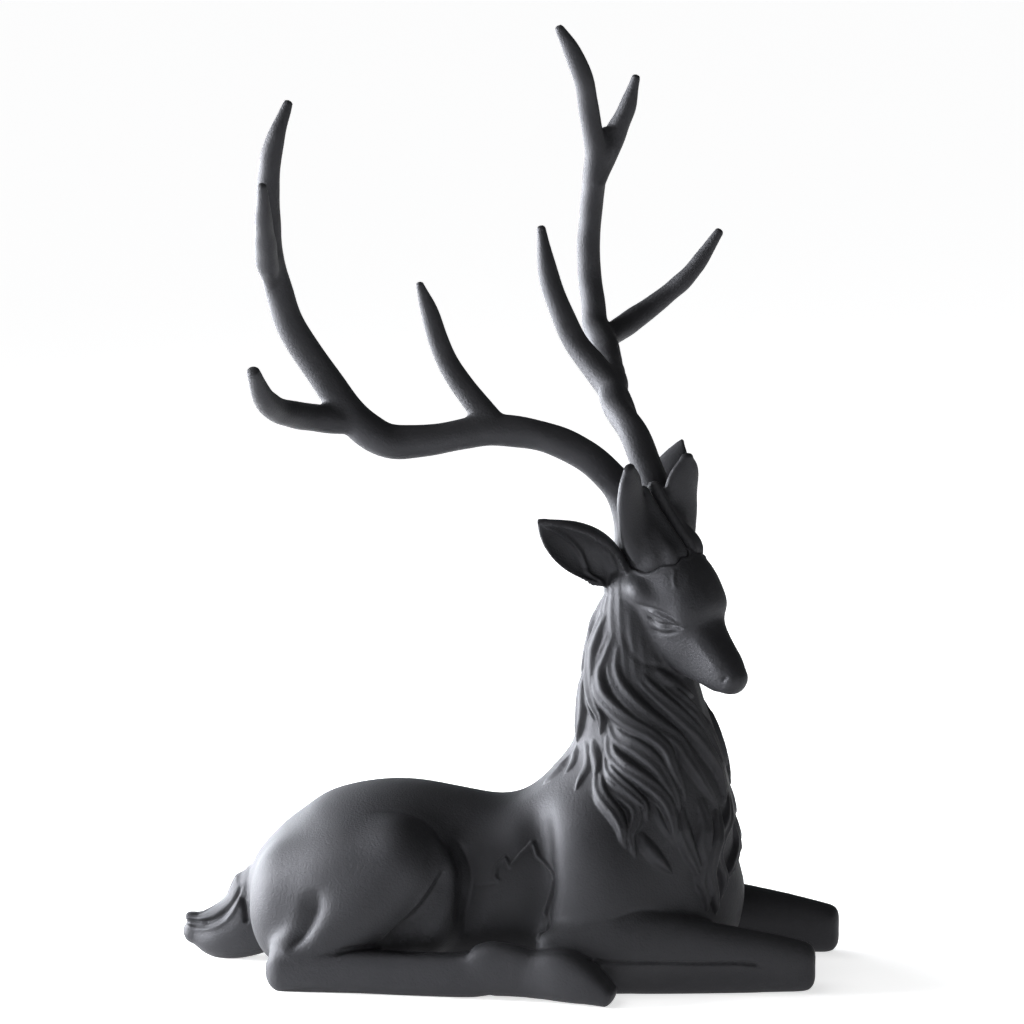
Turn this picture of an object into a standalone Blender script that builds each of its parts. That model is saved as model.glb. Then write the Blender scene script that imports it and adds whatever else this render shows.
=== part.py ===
"""A stag lying on its folded legs, its head turned to its right and two branched antlers set in its crown.

Metres, +Z up. The stag faces +X and its right side is towards -Y. The origin is on its flat underside,
amidships.
"""

import math

import bmesh
import bpy
import numpy as np
from mathutils import Matrix, Vector
from mathutils.bvhtree import BVHTree

CROWN_HEIGHT = 0.172  # floor to the crown, between the antlers
ANTLER_RISE = 0.213  # crown to the tip of the taller antler
BODY_WIDTH = 0.104  # across the haunches
EAR_LENGTH = 0.052
EAR_WALL = 0.0026
MANE_LOCK_WIDTH = 0.0085
MANE_LOCK_HEIGHT = 0.0034
SOCKET_CLEARANCE = 0.0003  # between an antler's foot and its seat in the crown, and between the two feet
BODY_GRAIN = 0.0014  # edge of the cells in which the lumps are fused
ANTLER_GRAIN = 0.0011
BODY_FACES = 6300  # triangles that are kept of the body's skin
ANTLER_FACES = 1300

# The pose is laid out in shares of the crown's height, and the antlers in shares of their rise.
BODY = CROWN_HEIGHT / 172
HORN = ANTLER_RISE / 213
SIDE = BODY_WIDTH / 104  # shares of the width, across the body

IRON_COLOUR = (0.030, 0.031, 0.034, 1.0)
IRON_ROUGHNESS = 0.48


def clear_scene():
    for item in list(bpy.data.objects):
        bpy.data.objects.remove(item)


def iron(name):
    material = bpy.data.materials.new(name)
    material.use_nodes = True
    shader = material.node_tree.nodes["Principled BSDF"]
    shader.inputs["Base Color"].default_value = IRON_COLOUR
    shader.inputs["Metallic"].default_value = 0.35
    shader.inputs["Roughness"].default_value = IRON_ROUGHNESS
    return material


def smooth_curve(stations, steps):
    """The stations joined by a Catmull-Rom curve with that many steps to each span."""
    knots = np.array(stations, float)
    padded = np.vstack([2 * knots[0] - knots[1], knots, 2 * knots[-1] - knots[-2]])
    share = np.linspace(0, 1, steps, endpoint=False)[:, None]
    spans = []
    for a, b, c, d in zip(padded, padded[1:], padded[2:], padded[3:]):
        bend = (3 * (b - c) + d - a) * share**3 + (2 * a - 5 * b + 4 * c - d) * share**2
        spans.append(0.5 * (bend + (c - a) * share) + b)
    return np.vstack(spans + [knots[-1:]])


def unit(vectors):
    return vectors / np.linalg.norm(vectors, axis=-1, keepdims=True)


def add_limb(lumps, stations, up=(0, 0, 1), steps=4, sides=18, rounding=1.0):
    """A closed limb with oval rings, through stations of (x, y, z, half width, half depth).

    The depth lies along up, which is one direction or one for each station, and both ends are domed.
    """
    fine = smooth_curve(stations, steps)
    ups = np.broadcast_to(np.array(up, float), (len(stations), 3))
    depth_way = smooth_curve(ups, steps)
    centre, half = fine[:, :3], np.maximum(fine[:, 3:5], 1e-5)
    along = unit(np.gradient(centre, axis=0))
    across = unit(np.cross(depth_way, along))
    depth_way = np.cross(along, across)

    dome = np.radians([72, 48, 24])
    rows = [(0, -math.sin(a), math.cos(a)) for a in dome]
    rows += [(i, 0, 1) for i in range(len(fine))]
    rows += [(-1, math.sin(a), math.cos(a)) for a in dome[::-1]]
    turn = np.linspace(0, 2 * math.pi, sides, endpoint=False)[:, None]
    rings = []
    for i, out, share in rows:
        middle = centre[i] + along[i] * out * rounding * half[i].min()
        ring = across[i] * half[i, 0] * np.cos(turn) + depth_way[i] * half[i, 1] * np.sin(turn)
        rings.append([lumps.verts.new(p) for p in middle + share * ring])
    start = lumps.verts.new(centre[0] - along[0] * rounding * half[0].min())
    end = lumps.verts.new(centre[-1] + along[-1] * rounding * half[-1].min())
    for ring, after in zip(rings, rings[1:]):
        for k in range(sides):
            lumps.faces.new((ring[k], ring[k - 1], after[k - 1], after[k]))
    for k in range(sides):
        lumps.faces.new((start, rings[0][k - 1], rings[0][k]))
        lumps.faces.new((end, rings[-1][k], rings[-1][k - 1]))


def add_muscle(lumps, centre, radii, turn=(0, 0, 0)):
    """An egg shape with those three half sizes, turned by degrees about X, Y and Z."""
    spin = Matrix.Identity(4)
    for angle, axis in zip(turn, "XYZ"):
        spin = Matrix.Rotation(math.radians(angle), 4, axis) @ spin
    place = Matrix.Translation(centre) @ spin @ Matrix.Diagonal((*radii, 1))
    bmesh.ops.create_uvsphere(lumps, u_segments=24, v_segments=14, radius=1, matrix=place)


def body_stations(rows):
    """Rows of whole millimetres at the modelled height, as metres at the height in use."""
    return [(x * BODY, y * SIDE, z * BODY, w * SIDE, d * BODY) for x, y, z, w, d in rows]


def add_torso(lumps):
    rows = [  # x, y, z, half width, half depth
        (-101, 0, 31, 20, 18),
        (-92, 0, 31.5, 32, 28.5),
        (-80, 0, 31, 40, 37),
        (-62, 0, 32.5, 43, 42),
        (-45, 0, 33.3, 42, 43.5),
        (-25, 0, 32.3, 40, 42),
        (-5, 0, 31.5, 39, 39.5),
        (12, 0, 32, 41, 40),
        (32, 0, 33, 43, 42),
        (52, 0, 34, 42, 42),
        (70, 0, 36, 35, 38),
        (82, 0, 41, 24, 29),
    ]
    add_limb(lumps, body_stations(rows), sides=28, rounding=0.5)


NECK_ROWS = [  # x, y, z, half width, half depth, from the breast to the skull
    (56.5, 0, 42, 36, 35),
    (57, 0, 62, 35, 35),
    (56.3, 0, 80, 32, 32),
    (55, 0, 95, 28, 29),
    (53.5, -1, 108, 24, 26),
    (52.5, -1, 120, 20, 24),
    (51, -2, 134, 17.5, 19.6),
    (51.3, -3, 147, 16, 16.6),
    (53, -4, 158, 14, 14),
]


def add_neck(lumps):
    add_limb(lumps, body_stations(NECK_ROWS), up=(1, 0, 0), sides=28, rounding=0.5)
    withers = [(-8, 0, 54, 26, 12), (8, 0, 59, 28, 13), (22, 0, 70, 25, 13), (37, 0, 86, 20, 14)]
    add_limb(lumps, body_stations(withers), sides=20)


def hind_leg(lumps, side):
    """Haunch, shank, hock and cannon of one hind leg, with its hoof laid forward; side is -1 or 1."""
    haunch = [(-84, 25, 36, 20, 22), (-70, 27, 38, 23, 25), (-54, 30, 43, 21, 25.5), (-40, 33, 50, 17, 19)]
    shank = [(-38, 37, 51, 11, 16), (-49, 40, 40, 12, 17), (-61, 43, 28, 11, 15), (-73, 46, 19, 9, 12),
             (-85, 47, 10, 8, 9)]
    cannon = [(-87, 48, 7.5, 7.5, 9), (-60, 49, 8.5, 7.5, 9), (-35, 50, 8.5, 7, 9), (-12, 51, 9, 7, 9),
              (5, 52, 12, 7.5, 11), (15, 53, 11, 7, 9.5), (27, 55, 11, 8, 10.5), (38, 56, 7, 8, 9),
              (45, 57, 3, 7, 4)]
    for rows in (haunch, shank, cannon):
        add_limb(lumps, body_stations([(x, side * y, z, w, d) for x, y, z, w, d in rows]))
    add_muscle(lumps, (-87 * BODY, side * 27 * SIDE, 29 * BODY), (18 * BODY, 19 * SIDE, 27 * BODY))
    add_muscle(lumps, (-25 * BODY, side * 35 * SIDE, 40 * BODY), (16 * BODY, 9 * SIDE, 27 * BODY))


def fore_leg(lumps, side, elbow, knee):
    """Shoulder, forearm and the cannon folded back under it; elbow and knee are (x, y) in millimetres."""
    (ex, ey), (kx, ky) = elbow, knee
    add_muscle(lumps, (39 * BODY, side * 23 * SIDE, 38 * BODY), (29 * BODY, 24 * SIDE, 44 * BODY), (0, -6, 0))
    add_muscle(lumps, (50 * BODY, side * 18 * SIDE, 58 * BODY), (28 * BODY, 20 * SIDE, 34 * BODY), (0, 10, 0))
    rise = [(0.0, 17, 9, 13), (0.22, 20, 10, 13), (0.42, 21, 9, 10.5), (0.6, 19, 8, 9.3), (0.8, 16.3, 7.5, 8),
            (1.0, 12, 7.5, 7.5)]
    forearm = [(ex + t * (kx - ex), ey + t * (ky - ey), z, w, d) for t, z, w, d in rise]
    fold = [(1.0, 7, 7, 6.8), (0.75, 6, 5.5, 6.2), (0.45, 6, 5, 6), (0.22, 6.5, 6, 6.5), (0.05, 5.5, 7, 6)]
    cannon = [(ex + t * (kx - ex), ey + t * (ky - ey), z, w, d) for t, z, w, d in fold]
    for rows in (forearm, cannon):
        add_limb(lumps, body_stations([(x, side * y, z, w, d) for x, y, z, w, d in rows]))


def add_tail(lumps):
    boat = [(-104, 0, 20, 13, 19), (-114, 0, 12, 13, 13), (-124, 0, 9, 11, 10), (-133, 0, 10, 6, 5.5)]
    tuft = [(-96, 0, 38, 12, 10), (-107, 0, 33, 10, 6.5), (-114, 0, 25.5, 9, 5), (-121, 0, 20, 8, 3.5),
            (-130, 0, 16, 6, 2.4), (-136, 0, 16.3, 4, 1.8)]
    for rows in (boat, tuft):
        add_limb(lumps, body_stations(rows))


def turned(place, yaw, pitch, roll):
    """A frame at a place in millimetres, turned left by yaw, nose down by pitch and left side up by roll."""
    x, y, z = place
    spin = Matrix.Identity(4)
    for angle, axis in ((yaw, "Z"), (pitch, "Y"), (roll, "X")):
        spin = spin @ Matrix.Rotation(math.radians(angle), 4, axis)
    return Matrix.Translation((x * BODY, y * SIDE, z * BODY)) @ spin


HEAD_PLACE = turned((58, -3, 170), -35, 43, 12)
CROWN_PLACE = turned((57, -2, 171), -35, 0, 14)


def head_point(forward, left, up):
    """A place on the head, in millimetres from the poll: along the face, to its left and out of the brow."""
    return HEAD_PLACE @ Vector((forward * BODY, left * BODY, up * BODY))


def head_limb(lumps, rows, **options):
    """A limb whose rows are given in the head's own directions."""
    spin = HEAD_PLACE.to_3x3()
    stations = [(*head_point(f, l, u), w * BODY, d * BODY) for f, l, u, w, d in rows]
    add_limb(lumps, stations, up=spin @ Vector((0, 0, 1)), **options)


def add_head(lumps):
    skull = [(-8, 0, -8, 9, 11), (2, 0, -7, 13.5, 16), (12, 0, -3.2, 16, 20.8), (22, 0, -4.2, 16, 20.8),
             (32, 0, -7.6, 13.5, 16.8), (41, 0, -7.4, 10, 13.4), (49, 0, -6, 8.3, 10.4),
             (55, 0, -4.8, 7.6, 8.6), (62, 0, -3.6, 6.4, 6.2)]
    chin = [(38, 0, -12.6, 6.5, 7.8), (47, 0, -12.4, 6, 6.4), (54.5, 0, -12, 5.2, 5)]
    head_limb(lumps, skull, sides=24, rounding=0.7)
    head_limb(lumps, chin)
    add_muscle(lumps, (51 * BODY, -3 * SIDE, 160 * BODY), (13 * BODY, 14 * SIDE, 12.5 * BODY))
    for side in (-1, 1):
        brow = [(4, side * 13, 3, 5, 5), (14, side * 16.2, 4, 4.8, 5), (24, side * 15, 2.5, 4, 4.2)]
        head_limb(lumps, brow)
        cheek = [(8, side * 9, -14, 6, 9), (20, side * 10, -14, 6, 10), (33, side * 7, -12, 5, 7)]
        head_limb(lumps, cheek)


# Each ear's root, tip and the way its cup faces, in millimetres at the modelled height.
EARS = [
    ((47, -10, 162), (16, -37, 190.8), (0, -0.75, -0.6)),
    ((58, 15.5, 169), (69.5, 34, 216), (0.45, 0.8, -0.45)),
]


def add_ear(lumps, root, tip, facing):
    """One ear: a leaf from the side of the crown outwards, cupped towards the way it faces."""
    root, tip = [Vector((x * BODY, y * SIDE, z * BODY)) for x, y, z in (root, tip)]
    axis = (tip - root).normalized()
    add_muscle(lumps, root, (6 * BODY, 6 * SIDE, 7 * BODY))
    front = Vector(facing)
    across = axis.cross(front).normalized()
    front = across.cross(axis)
    length = EAR_LENGTH
    rings = []
    for t, wide, cup in [(0.0, 0.11, 0.6), (0.12, 0.15, 0.7), (0.3, 0.22, 0.75), (0.5, 0.235, 0.7),
                         (0.7, 0.18, 0.6), (0.87, 0.095, 0.45), (1.0, 0.018, 0.2)]:
        middle, half = root + axis * length * t, wide * length
        outer = [(math.cos(a), -cup * math.sin(a)) for a in np.linspace(0, math.pi, 9)]
        wall = EAR_WALL / half
        inner = [(max(1 - 0.7 * wall, 0.3) * x, y + wall) for x, y in outer[::-1]]
        places = [middle + across * half * x + front * half * y for x, y in outer + inner]
        rings.append([lumps.verts.new(place) for place in places])
    for ring, after in zip(rings, rings[1:]):
        for k in range(len(ring)):
            lumps.faces.new((ring[k - 1], ring[k], after[k], after[k - 1]))
    lumps.faces.new(rings[0][::-1])
    lumps.faces.new(rings[-1])


# Antler branches as rows of x, y, z and radius, in millimetres at the modelled rise.
RIGHT_ANTLER = {
    "beam": [(52.5, -9, 172, 7.6), (50.5, -9, 179, 7.6), (49.5, -10, 188, 7.1), (46.5, -11, 198, 6.7),
             (41, -13, 206, 6.4), (31, -16, 215, 6.3), (14, -18, 222.5, 6.2), (-6, -21, 225, 6.4),
             (-26, -25, 221.7, 6.2), (-44, -28, 220.5, 7.0), (-54, -30, 225, 7.2), (-63, -31, 234, 6.6),
             (-75, -33, 252, 6.1), (-84, -36, 267, 5.9), (-88.5, -40, 283, 5.5), (-90.5, -46, 298, 5.2),
             (-90, -52, 312, 5.0), (-89, -57, 323, 4.6), (-87, -60, 335, 4.2), (-84, -61, 345, 3.4),
             (-80, -60, 356, 1.8)],
    "middle tine": [(-3, -21, 225, 5.6), (-13, -18, 236, 5.0), (-23, -15, 249, 4.5), (-28, -15, 261, 4.1),
                    (-32, -15, 273, 3.3), (-35, -18, 283, 1.7)],
    "outer tine": [(-56, -30, 228, 5.6), (-68, -36, 230, 5.6), (-77, -44, 232, 5.4), (-84, -61, 236, 5.1),
                   (-87, -79, 243, 4.4), (-88, -95, 255, 2.7)],
    "upper tine": [(-89, -48, 300, 4), (-88, -62, 305, 3.8), (-87, -76, 315, 3.0), (-86, -84, 324, 1.5)],
}
LEFT_ANTLER = {
    "beam": [(61.5, 6, 173, 7.6), (60.5, 6, 181, 7.6), (59, 5, 189, 7.2), (57.5, 5, 199, 6.7),
             (54, 6, 209, 6.3), (48.5, 10, 221, 6.0), (40, 22, 231, 5.7), (37.2, 39, 238, 6.3),
             (34, 59, 242, 6.0), (31, 76, 247, 6.0), (28.5, 83, 252, 5.9), (25, 89, 258, 5.5),
             (23.5, 92, 268, 5.2), (22, 94, 279, 5.0), (21.5, 93, 292, 4.9), (22.5, 91, 305, 4.8),
             (24.5, 86, 320, 5.0), (25.5, 83, 332, 4.7), (23.5, 78, 347, 4.3), (21.5, 72, 362, 4.2),
             (17, 68, 374, 3.7), (11.7, 64, 384.5, 2.0)],
    "middle tine": [(39, 36, 235, 6), (30.5, 39, 244, 5.5), (22, 41, 254, 5.2), (16, 41, 266, 4.8),
                    (10.2, 41, 283, 4.1), (7, 41, 302, 2.0)],
    "outer tine": [(28, 86, 254, 5.2), (38, 103, 257.5, 5.0), (51, 113, 267, 4.3), (64, 116, 279, 3.7),
                   (76, 118, 296.5, 2.1)],
    "upper tine": [(25.5, 85, 319, 5.8), (31.7, 90, 334, 4.6), (38, 89, 350, 3.6), (42, 87, 363, 1.8)],
}


def horn_point(x, y, z):
    """A place on an antler, from whole millimetres at the modelled rise."""
    crown = Vector((57 * BODY, -2 * SIDE, 172 * BODY))
    return crown + Vector(((x - 57) * HORN, (y + 2) * HORN, (z - 172) * HORN))


# The leaf-shaped brow tine, in the crown's own directions: forward, outward, up, half width, half thickness.
BROW_TINE = [(8, 8.3, 2, 6.5, 5.5), (7, 10.5, 9, 8.4, 5.3), (6.5, 13.5, 18, 9.2, 4.5),
             (8, 15.5, 30, 8.8, 3.7), (10.5, 17, 40, 6.8, 3), (12, 17.7, 46, 3.2, 2)]
BROW_TINE_TOE_IN = 8  # degrees, of its flat face towards the middle of the head


# The swollen foot that joins beam and brow tine, in the same directions, from below the crown upwards.
ANTLER_FOOT = [(5, 7.3, -6, 7, 9.5), (5, 7.6, 0, 7, 9.5), (4.5, 8.6, 8, 7, 8.5), (3, 9.8, 17, 5.5, 6.5)]


def crown_point(forward, left, up):
    """A place on an antler's foot in the crown's own directions, in millimetres at the modelled rise."""
    return CROWN_PLACE @ Vector((forward * HORN, left * HORN, up * HORN))


def add_antler_lumps(lumps, side, branches):
    """The round branches from rows of x, y, z and radius, and the flat brow tine; side is -1 or 1."""
    for rows in branches.values():
        stations = [(*horn_point(*row[:3]), row[3] * HORN, row[3] * HORN) for row in rows]
        add_limb(lumps, stations, up=(0.35, -0.45, 0.1), sides=16, rounding=0.6)
    foot = [(*crown_point(f, side * l, u), w * HORN, d * HORN) for f, l, u, w, d in ANTLER_FOOT]
    add_limb(lumps, foot, up=CROWN_PLACE.to_3x3() @ Vector((1, 0, 0)), sides=20, rounding=0.4)
    toe = math.radians(BROW_TINE_TOE_IN)
    face = CROWN_PLACE.to_3x3() @ Vector((math.cos(toe), -side * math.sin(toe), 0))
    stations = [(*crown_point(f, side * l, u), w * HORN, d * HORN) for f, l, u, w, d in BROW_TINE]
    add_limb(lumps, stations, up=face, sides=20)


def fused(name, lumps, grain, relax, material):
    """The lumps as one skin, in a new object: fused in cells of that grain, then relaxed."""
    bmesh.ops.recalc_face_normals(lumps, faces=lumps.faces)
    mesh = bpy.data.meshes.new(name)
    lumps.to_mesh(mesh)
    lumps.free()
    item = bpy.data.objects.new(name, mesh)
    bpy.context.scene.collection.objects.link(item)
    remesh = item.modifiers.new("fuse", "REMESH")
    remesh.mode = "VOXEL"
    remesh.voxel_size = grain
    smooth = item.modifiers.new("relax", "SMOOTH")
    smooth.factor = 0.5
    smooth.iterations = relax
    freeze(item)
    item.data.materials.clear()
    item.data.materials.append(material)
    return item


def freeze(item):
    """Works the object's modifiers into its mesh."""
    bpy.context.view_layer.update()
    shown = item.evaluated_get(bpy.context.evaluated_depsgraph_get())
    mesh = bpy.data.meshes.new_from_object(shown)
    item.modifiers.clear()
    item.data = mesh


def thin_out(item, faces):
    """Collapses the flatter stretches of the skin until about that many triangles are left."""
    triangles = sum(len(face.vertices) - 2 for face in item.data.polygons)
    decimate = item.modifiers.new("thin out", "DECIMATE")
    decimate.ratio = min(1, faces / triangles)
    decimate.use_collapse_triangulate = True
    freeze(item)


def carve(item, cutter):
    """Takes the cutter out of the object."""
    boolean = item.modifiers.new("carve", "BOOLEAN")
    boolean.operation = "DIFFERENCE"
    boolean.object = cutter
    freeze(item)


def drop_crumbs(item):
    """Leaves only the biggest body of the mesh: a cut can leave crumbs beside it."""
    mesh = bmesh.new()
    mesh.from_mesh(item.data)
    left = set(mesh.verts)
    bodies = []
    while left:
        front = [left.pop()]
        body = set(front)
        while front:
            near = {edge.other_vert(vert) for vert in front for edge in vert.link_edges}
            front = list(near & left)
            left.difference_update(front)
            body.update(front)
        bodies.append(body)
    bodies.sort(key=len)
    for body in bodies[:-1]:
        bmesh.ops.delete(mesh, geom=list(body), context="VERTS")
    mesh.to_mesh(item.data)
    mesh.free()


def half_space(name, point, outward, size):
    """A big block whose one face passes through the point and looks back along outward."""
    lumps = bmesh.new()
    spin = Vector(outward).to_track_quat("Z", "Y").to_matrix().to_4x4()
    place = Matrix.Translation(point) @ spin @ Matrix.Translation((0, 0, size / 2))
    bmesh.ops.create_cube(lumps, size=size, matrix=place)
    mesh = bpy.data.meshes.new(name)
    lumps.to_mesh(mesh)
    lumps.free()
    return new_cutter(name, mesh)


def new_cutter(name, mesh):
    cutter = bpy.data.objects.new(name, mesh)
    cutter.hide_render = True
    cutter.display_type = "WIRE"
    bpy.context.scene.collection.children["cutters"].objects.link(cutter)
    return cutter


def neck_axis(height):
    """The middle of the neck at a height in millimetres, with its rows as the guide."""
    rows = np.array(NECK_ROWS)
    return [float(np.interp(height, rows[:, 2], rows[:, k])) for k in (0, 1)]


def skin_point(skin, height, bearing):
    """The point and outward direction of the skin at a height, looking out from the neck's middle.

    The height is in millimetres; the bearing is in degrees, 0 ahead and 90 to the stag's left.
    """
    x, y = neck_axis(height)
    middle = Vector((x * BODY, y * SIDE, height * BODY))
    angle = math.radians(bearing)
    way = Vector((math.cos(angle), math.sin(angle), 0))
    hit, normal, _, _ = skin.ray_cast(middle + way * 90 * BODY, -way)
    return hit, normal


# The locks of the mane, in tiers from the nape down: how many to a side, the bearings of the first and
# the last at their roots, how far round they swing, and the heights of their roots and tips.
MANE_TIERS = [
    (5, 70, 158, -20, 148, 96),
    (6, 42, 160, -26, 128, 78),
    (6, 22, 138, -18, 104, 60),
    (4, 6, 66, -4, 84, 40),
]
LOCK_SWAY = 7  # degrees that a lock swings to either side of its run


def add_mane(lumps, skin):
    """Tapered locks laid on the neck's skin, each along an S-shaped run, the tiers one over another."""
    for tier, (count, first, last, swing, top, bottom) in enumerate(MANE_TIERS):
        for side in (-1, 1):
            for k in range(count):
                share = k / (count - 1)
                bearing = first + share * (last - first)
                lift = 6 * math.sin(2.1 * k + tier + side)
                stations = []
                ups = []
                for t in np.linspace(0, 1, 8):
                    height = top + lift - (top - bottom) * t * (1 - 0.25 * share)
                    sway = LOCK_SWAY * math.sin(2 * math.pi * t + 0.6 * k)
                    hit, normal = skin_point(skin, height, side * (bearing + swing * t + sway))
                    taper = math.sin(math.pi * (0.16 + 0.84 * t)) ** 0.7
                    half = max(0.5 * MANE_LOCK_WIDTH * taper, 0.0006)
                    rise = max(0.62 * MANE_LOCK_HEIGHT * taper, 0.0005)
                    stations.append((*(hit + normal * rise * 0.45), half, rise * 1.15))
                    ups.append(normal)
                add_limb(lumps, stations, up=ups, steps=2, sides=10, rounding=0.6)


def add_body_lumps(lumps):
    add_torso(lumps)
    add_neck(lumps)
    for side in (-1, 1):
        hind_leg(lumps, side)
    fore_leg(lumps, -1, (30, 42), (119.4, 27))
    fore_leg(lumps, 1, (30, 38), (126.7, 36))
    add_tail(lumps)
    add_head(lumps)
    for ear in EARS:
        add_ear(lumps, *ear)


def new_collection(name):
    collection = bpy.data.collections.new(name)
    bpy.context.scene.collection.children.link(collection)
    return collection


def build_body(material):
    """The bare body is fused once to lay the mane on, and once more with the mane on it."""
    lumps = bmesh.new()
    add_body_lumps(lumps)
    bare = fused("bare_body", lumps, BODY_GRAIN * 2, 2, material)
    skin = BVHTree.FromObject(bare, bpy.context.evaluated_depsgraph_get())
    lumps = bmesh.new()
    add_body_lumps(lumps)
    add_mane(lumps, skin)
    bpy.data.objects.remove(bare)
    body = fused("stag_body", lumps, BODY_GRAIN, 2, material)
    thin_out(body, BODY_FACES)
    carve(body, half_space("below_floor", (0, 0, 0), (0, 0, -1), 1.0))
    return body


def build_antler(name, side, branches, material):
    """One antler, cut off along the middle of the crown, where its twin stands."""
    lumps = bmesh.new()
    add_antler_lumps(lumps, side, branches)
    antler = fused(name, lumps, ANTLER_GRAIN, 3, material)
    thin_out(antler, ANTLER_FACES)
    inward = CROWN_PLACE.to_3x3() @ Vector((0, -side, 0))
    middle = CROWN_PLACE.translation - inward * SOCKET_CLEARANCE / 2
    carve(antler, half_space("past_middle_" + name, middle, inward, 0.4))
    return antler


def seat(body, antler):
    """Cuts the antler's seat into the crown: the antler's own foot, grown by the clearance."""
    swell = antler.modifiers.new("swell", "DISPLACE")
    swell.mid_level = 0
    swell.strength = SOCKET_CLEARANCE
    bpy.context.view_layer.update()
    shown = antler.evaluated_get(bpy.context.evaluated_depsgraph_get())
    mesh = bpy.data.meshes.new_from_object(shown)
    antler.modifiers.remove(swell)
    carve(body, new_cutter("seat_of_" + antler.name, mesh))


def main():
    clear_scene()
    stag = new_collection("stag statue")
    new_collection("cutters")
    body = build_body(iron("black iron of the body"))
    pieces = [body]
    for name, side, branches in (("antler_right", -1, RIGHT_ANTLER), ("antler_left", 1, LEFT_ANTLER)):
        antler = build_antler(name, side, branches, iron("black iron of " + name))
        seat(body, antler)
        pieces.append(antler)
    drop_crumbs(body)
    for piece in pieces:
        bpy.context.scene.collection.objects.unlink(piece)
        stag.objects.link(piece)


main()
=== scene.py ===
"""The lying stag in black cast iron: one carved skin with mane and face, two antlers, and the studio."""

import math

import bpy
import numpy as np
from bpy.props import FloatProperty, FloatVectorProperty, PointerProperty
from mathutils import Matrix, Vector
from mathutils.bvhtree import BVHTree


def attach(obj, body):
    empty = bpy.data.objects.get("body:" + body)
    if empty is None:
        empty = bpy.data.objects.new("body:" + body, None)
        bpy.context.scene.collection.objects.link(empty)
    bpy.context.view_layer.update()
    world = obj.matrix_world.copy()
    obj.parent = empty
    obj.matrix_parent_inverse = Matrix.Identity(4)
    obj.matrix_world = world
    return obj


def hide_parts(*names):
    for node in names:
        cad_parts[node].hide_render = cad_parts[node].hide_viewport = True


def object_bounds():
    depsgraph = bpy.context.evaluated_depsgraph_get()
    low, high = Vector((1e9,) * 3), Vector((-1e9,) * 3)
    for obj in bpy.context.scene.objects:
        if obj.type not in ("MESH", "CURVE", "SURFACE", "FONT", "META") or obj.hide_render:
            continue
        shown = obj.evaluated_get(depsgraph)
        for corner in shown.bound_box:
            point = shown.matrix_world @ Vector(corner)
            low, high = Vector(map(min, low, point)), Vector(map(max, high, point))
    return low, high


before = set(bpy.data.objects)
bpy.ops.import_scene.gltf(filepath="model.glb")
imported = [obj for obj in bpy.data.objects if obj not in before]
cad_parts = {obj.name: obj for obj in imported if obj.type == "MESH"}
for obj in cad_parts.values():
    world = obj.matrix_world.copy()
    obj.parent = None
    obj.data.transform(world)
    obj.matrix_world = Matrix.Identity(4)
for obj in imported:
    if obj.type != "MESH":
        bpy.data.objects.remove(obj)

cad_box = [list(corner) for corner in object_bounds()]

bl_info = {
    "name": "Lying stag in cast iron",
    "version": (1, 0, 0),
    "blender": (4, 5, 0),
    "location": "3D View > Sidebar > Stag",
    "description": "Builds the skin, the antlers and the studio of a cast iron stag around its solids",
    "category": "Object",
}

# The rows below are drawn in millimetres on a statue this tall, and MM is one of them in metres.
DRAWN_HEIGHT = 385.5
MM = (cad_box[1][2] - cad_box[0][2]) / DRAWN_HEIGHT

# The camera of the photograph: it looks at a point above the origin.
CAMERA_AZIMUTH = math.radians(7)
CAMERA_ELEVATION = math.radians(8)
CAMERA_DISTANCE = 1500
CAMERA_TARGET = np.array((0, 0, 189))
CAMERA_LENS = 129.59
CAMERA_SENSOR = 36
PHOTO_SIZE = 1024
PIXELS_PER_SLOPE = CAMERA_LENS / CAMERA_SENSOR * PHOTO_SIZE

CAMERA_BACK = np.array((
    math.sin(CAMERA_AZIMUTH) * math.cos(CAMERA_ELEVATION),
    -math.cos(CAMERA_AZIMUTH) * math.cos(CAMERA_ELEVATION),
    math.sin(CAMERA_ELEVATION),
))
CAMERA_RIGHT = np.array((math.cos(CAMERA_AZIMUTH), math.sin(CAMERA_AZIMUTH), 0))
CAMERA_UP = np.cross(CAMERA_BACK, CAMERA_RIGHT)
CAMERA_PLACE = CAMERA_TARGET + CAMERA_DISTANCE * CAMERA_BACK


class StagSizes(bpy.types.PropertyGroup):
    """Sizes of the carving and of the cells in which the surfaces are fused."""

    body_grain: FloatProperty(
        name="Body grain", description="Edge of the cells in which the body's forms are fused",
        default=0.00068, min=0.0004, max=0.003, unit="LENGTH", precision=5)
    antler_grain: FloatProperty(
        name="Antler grain", description="Edge of the cells in which an antler's branches are fused",
        default=0.0007, min=0.0004, max=0.003, unit="LENGTH", precision=5)
    lock_rise: FloatProperty(
        name="Lock rise", description="How far the locks of the mane stand out of the neck",
        default=0.0032, min=0.0005, max=0.004, unit="LENGTH", precision=5)
    strand_depth: FloatProperty(
        name="Strand depth", description="Depth of the fine grooves between the strands of a lock",
        default=0.0007, min=0, max=0.002, unit="LENGTH", precision=5)
    socket_gap: FloatProperty(
        name="Socket gap", description="Gap between an antler's foot and its seat in the crown",
        default=0.0003, min=0.0001, max=0.001, unit="LENGTH", precision=5)


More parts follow.
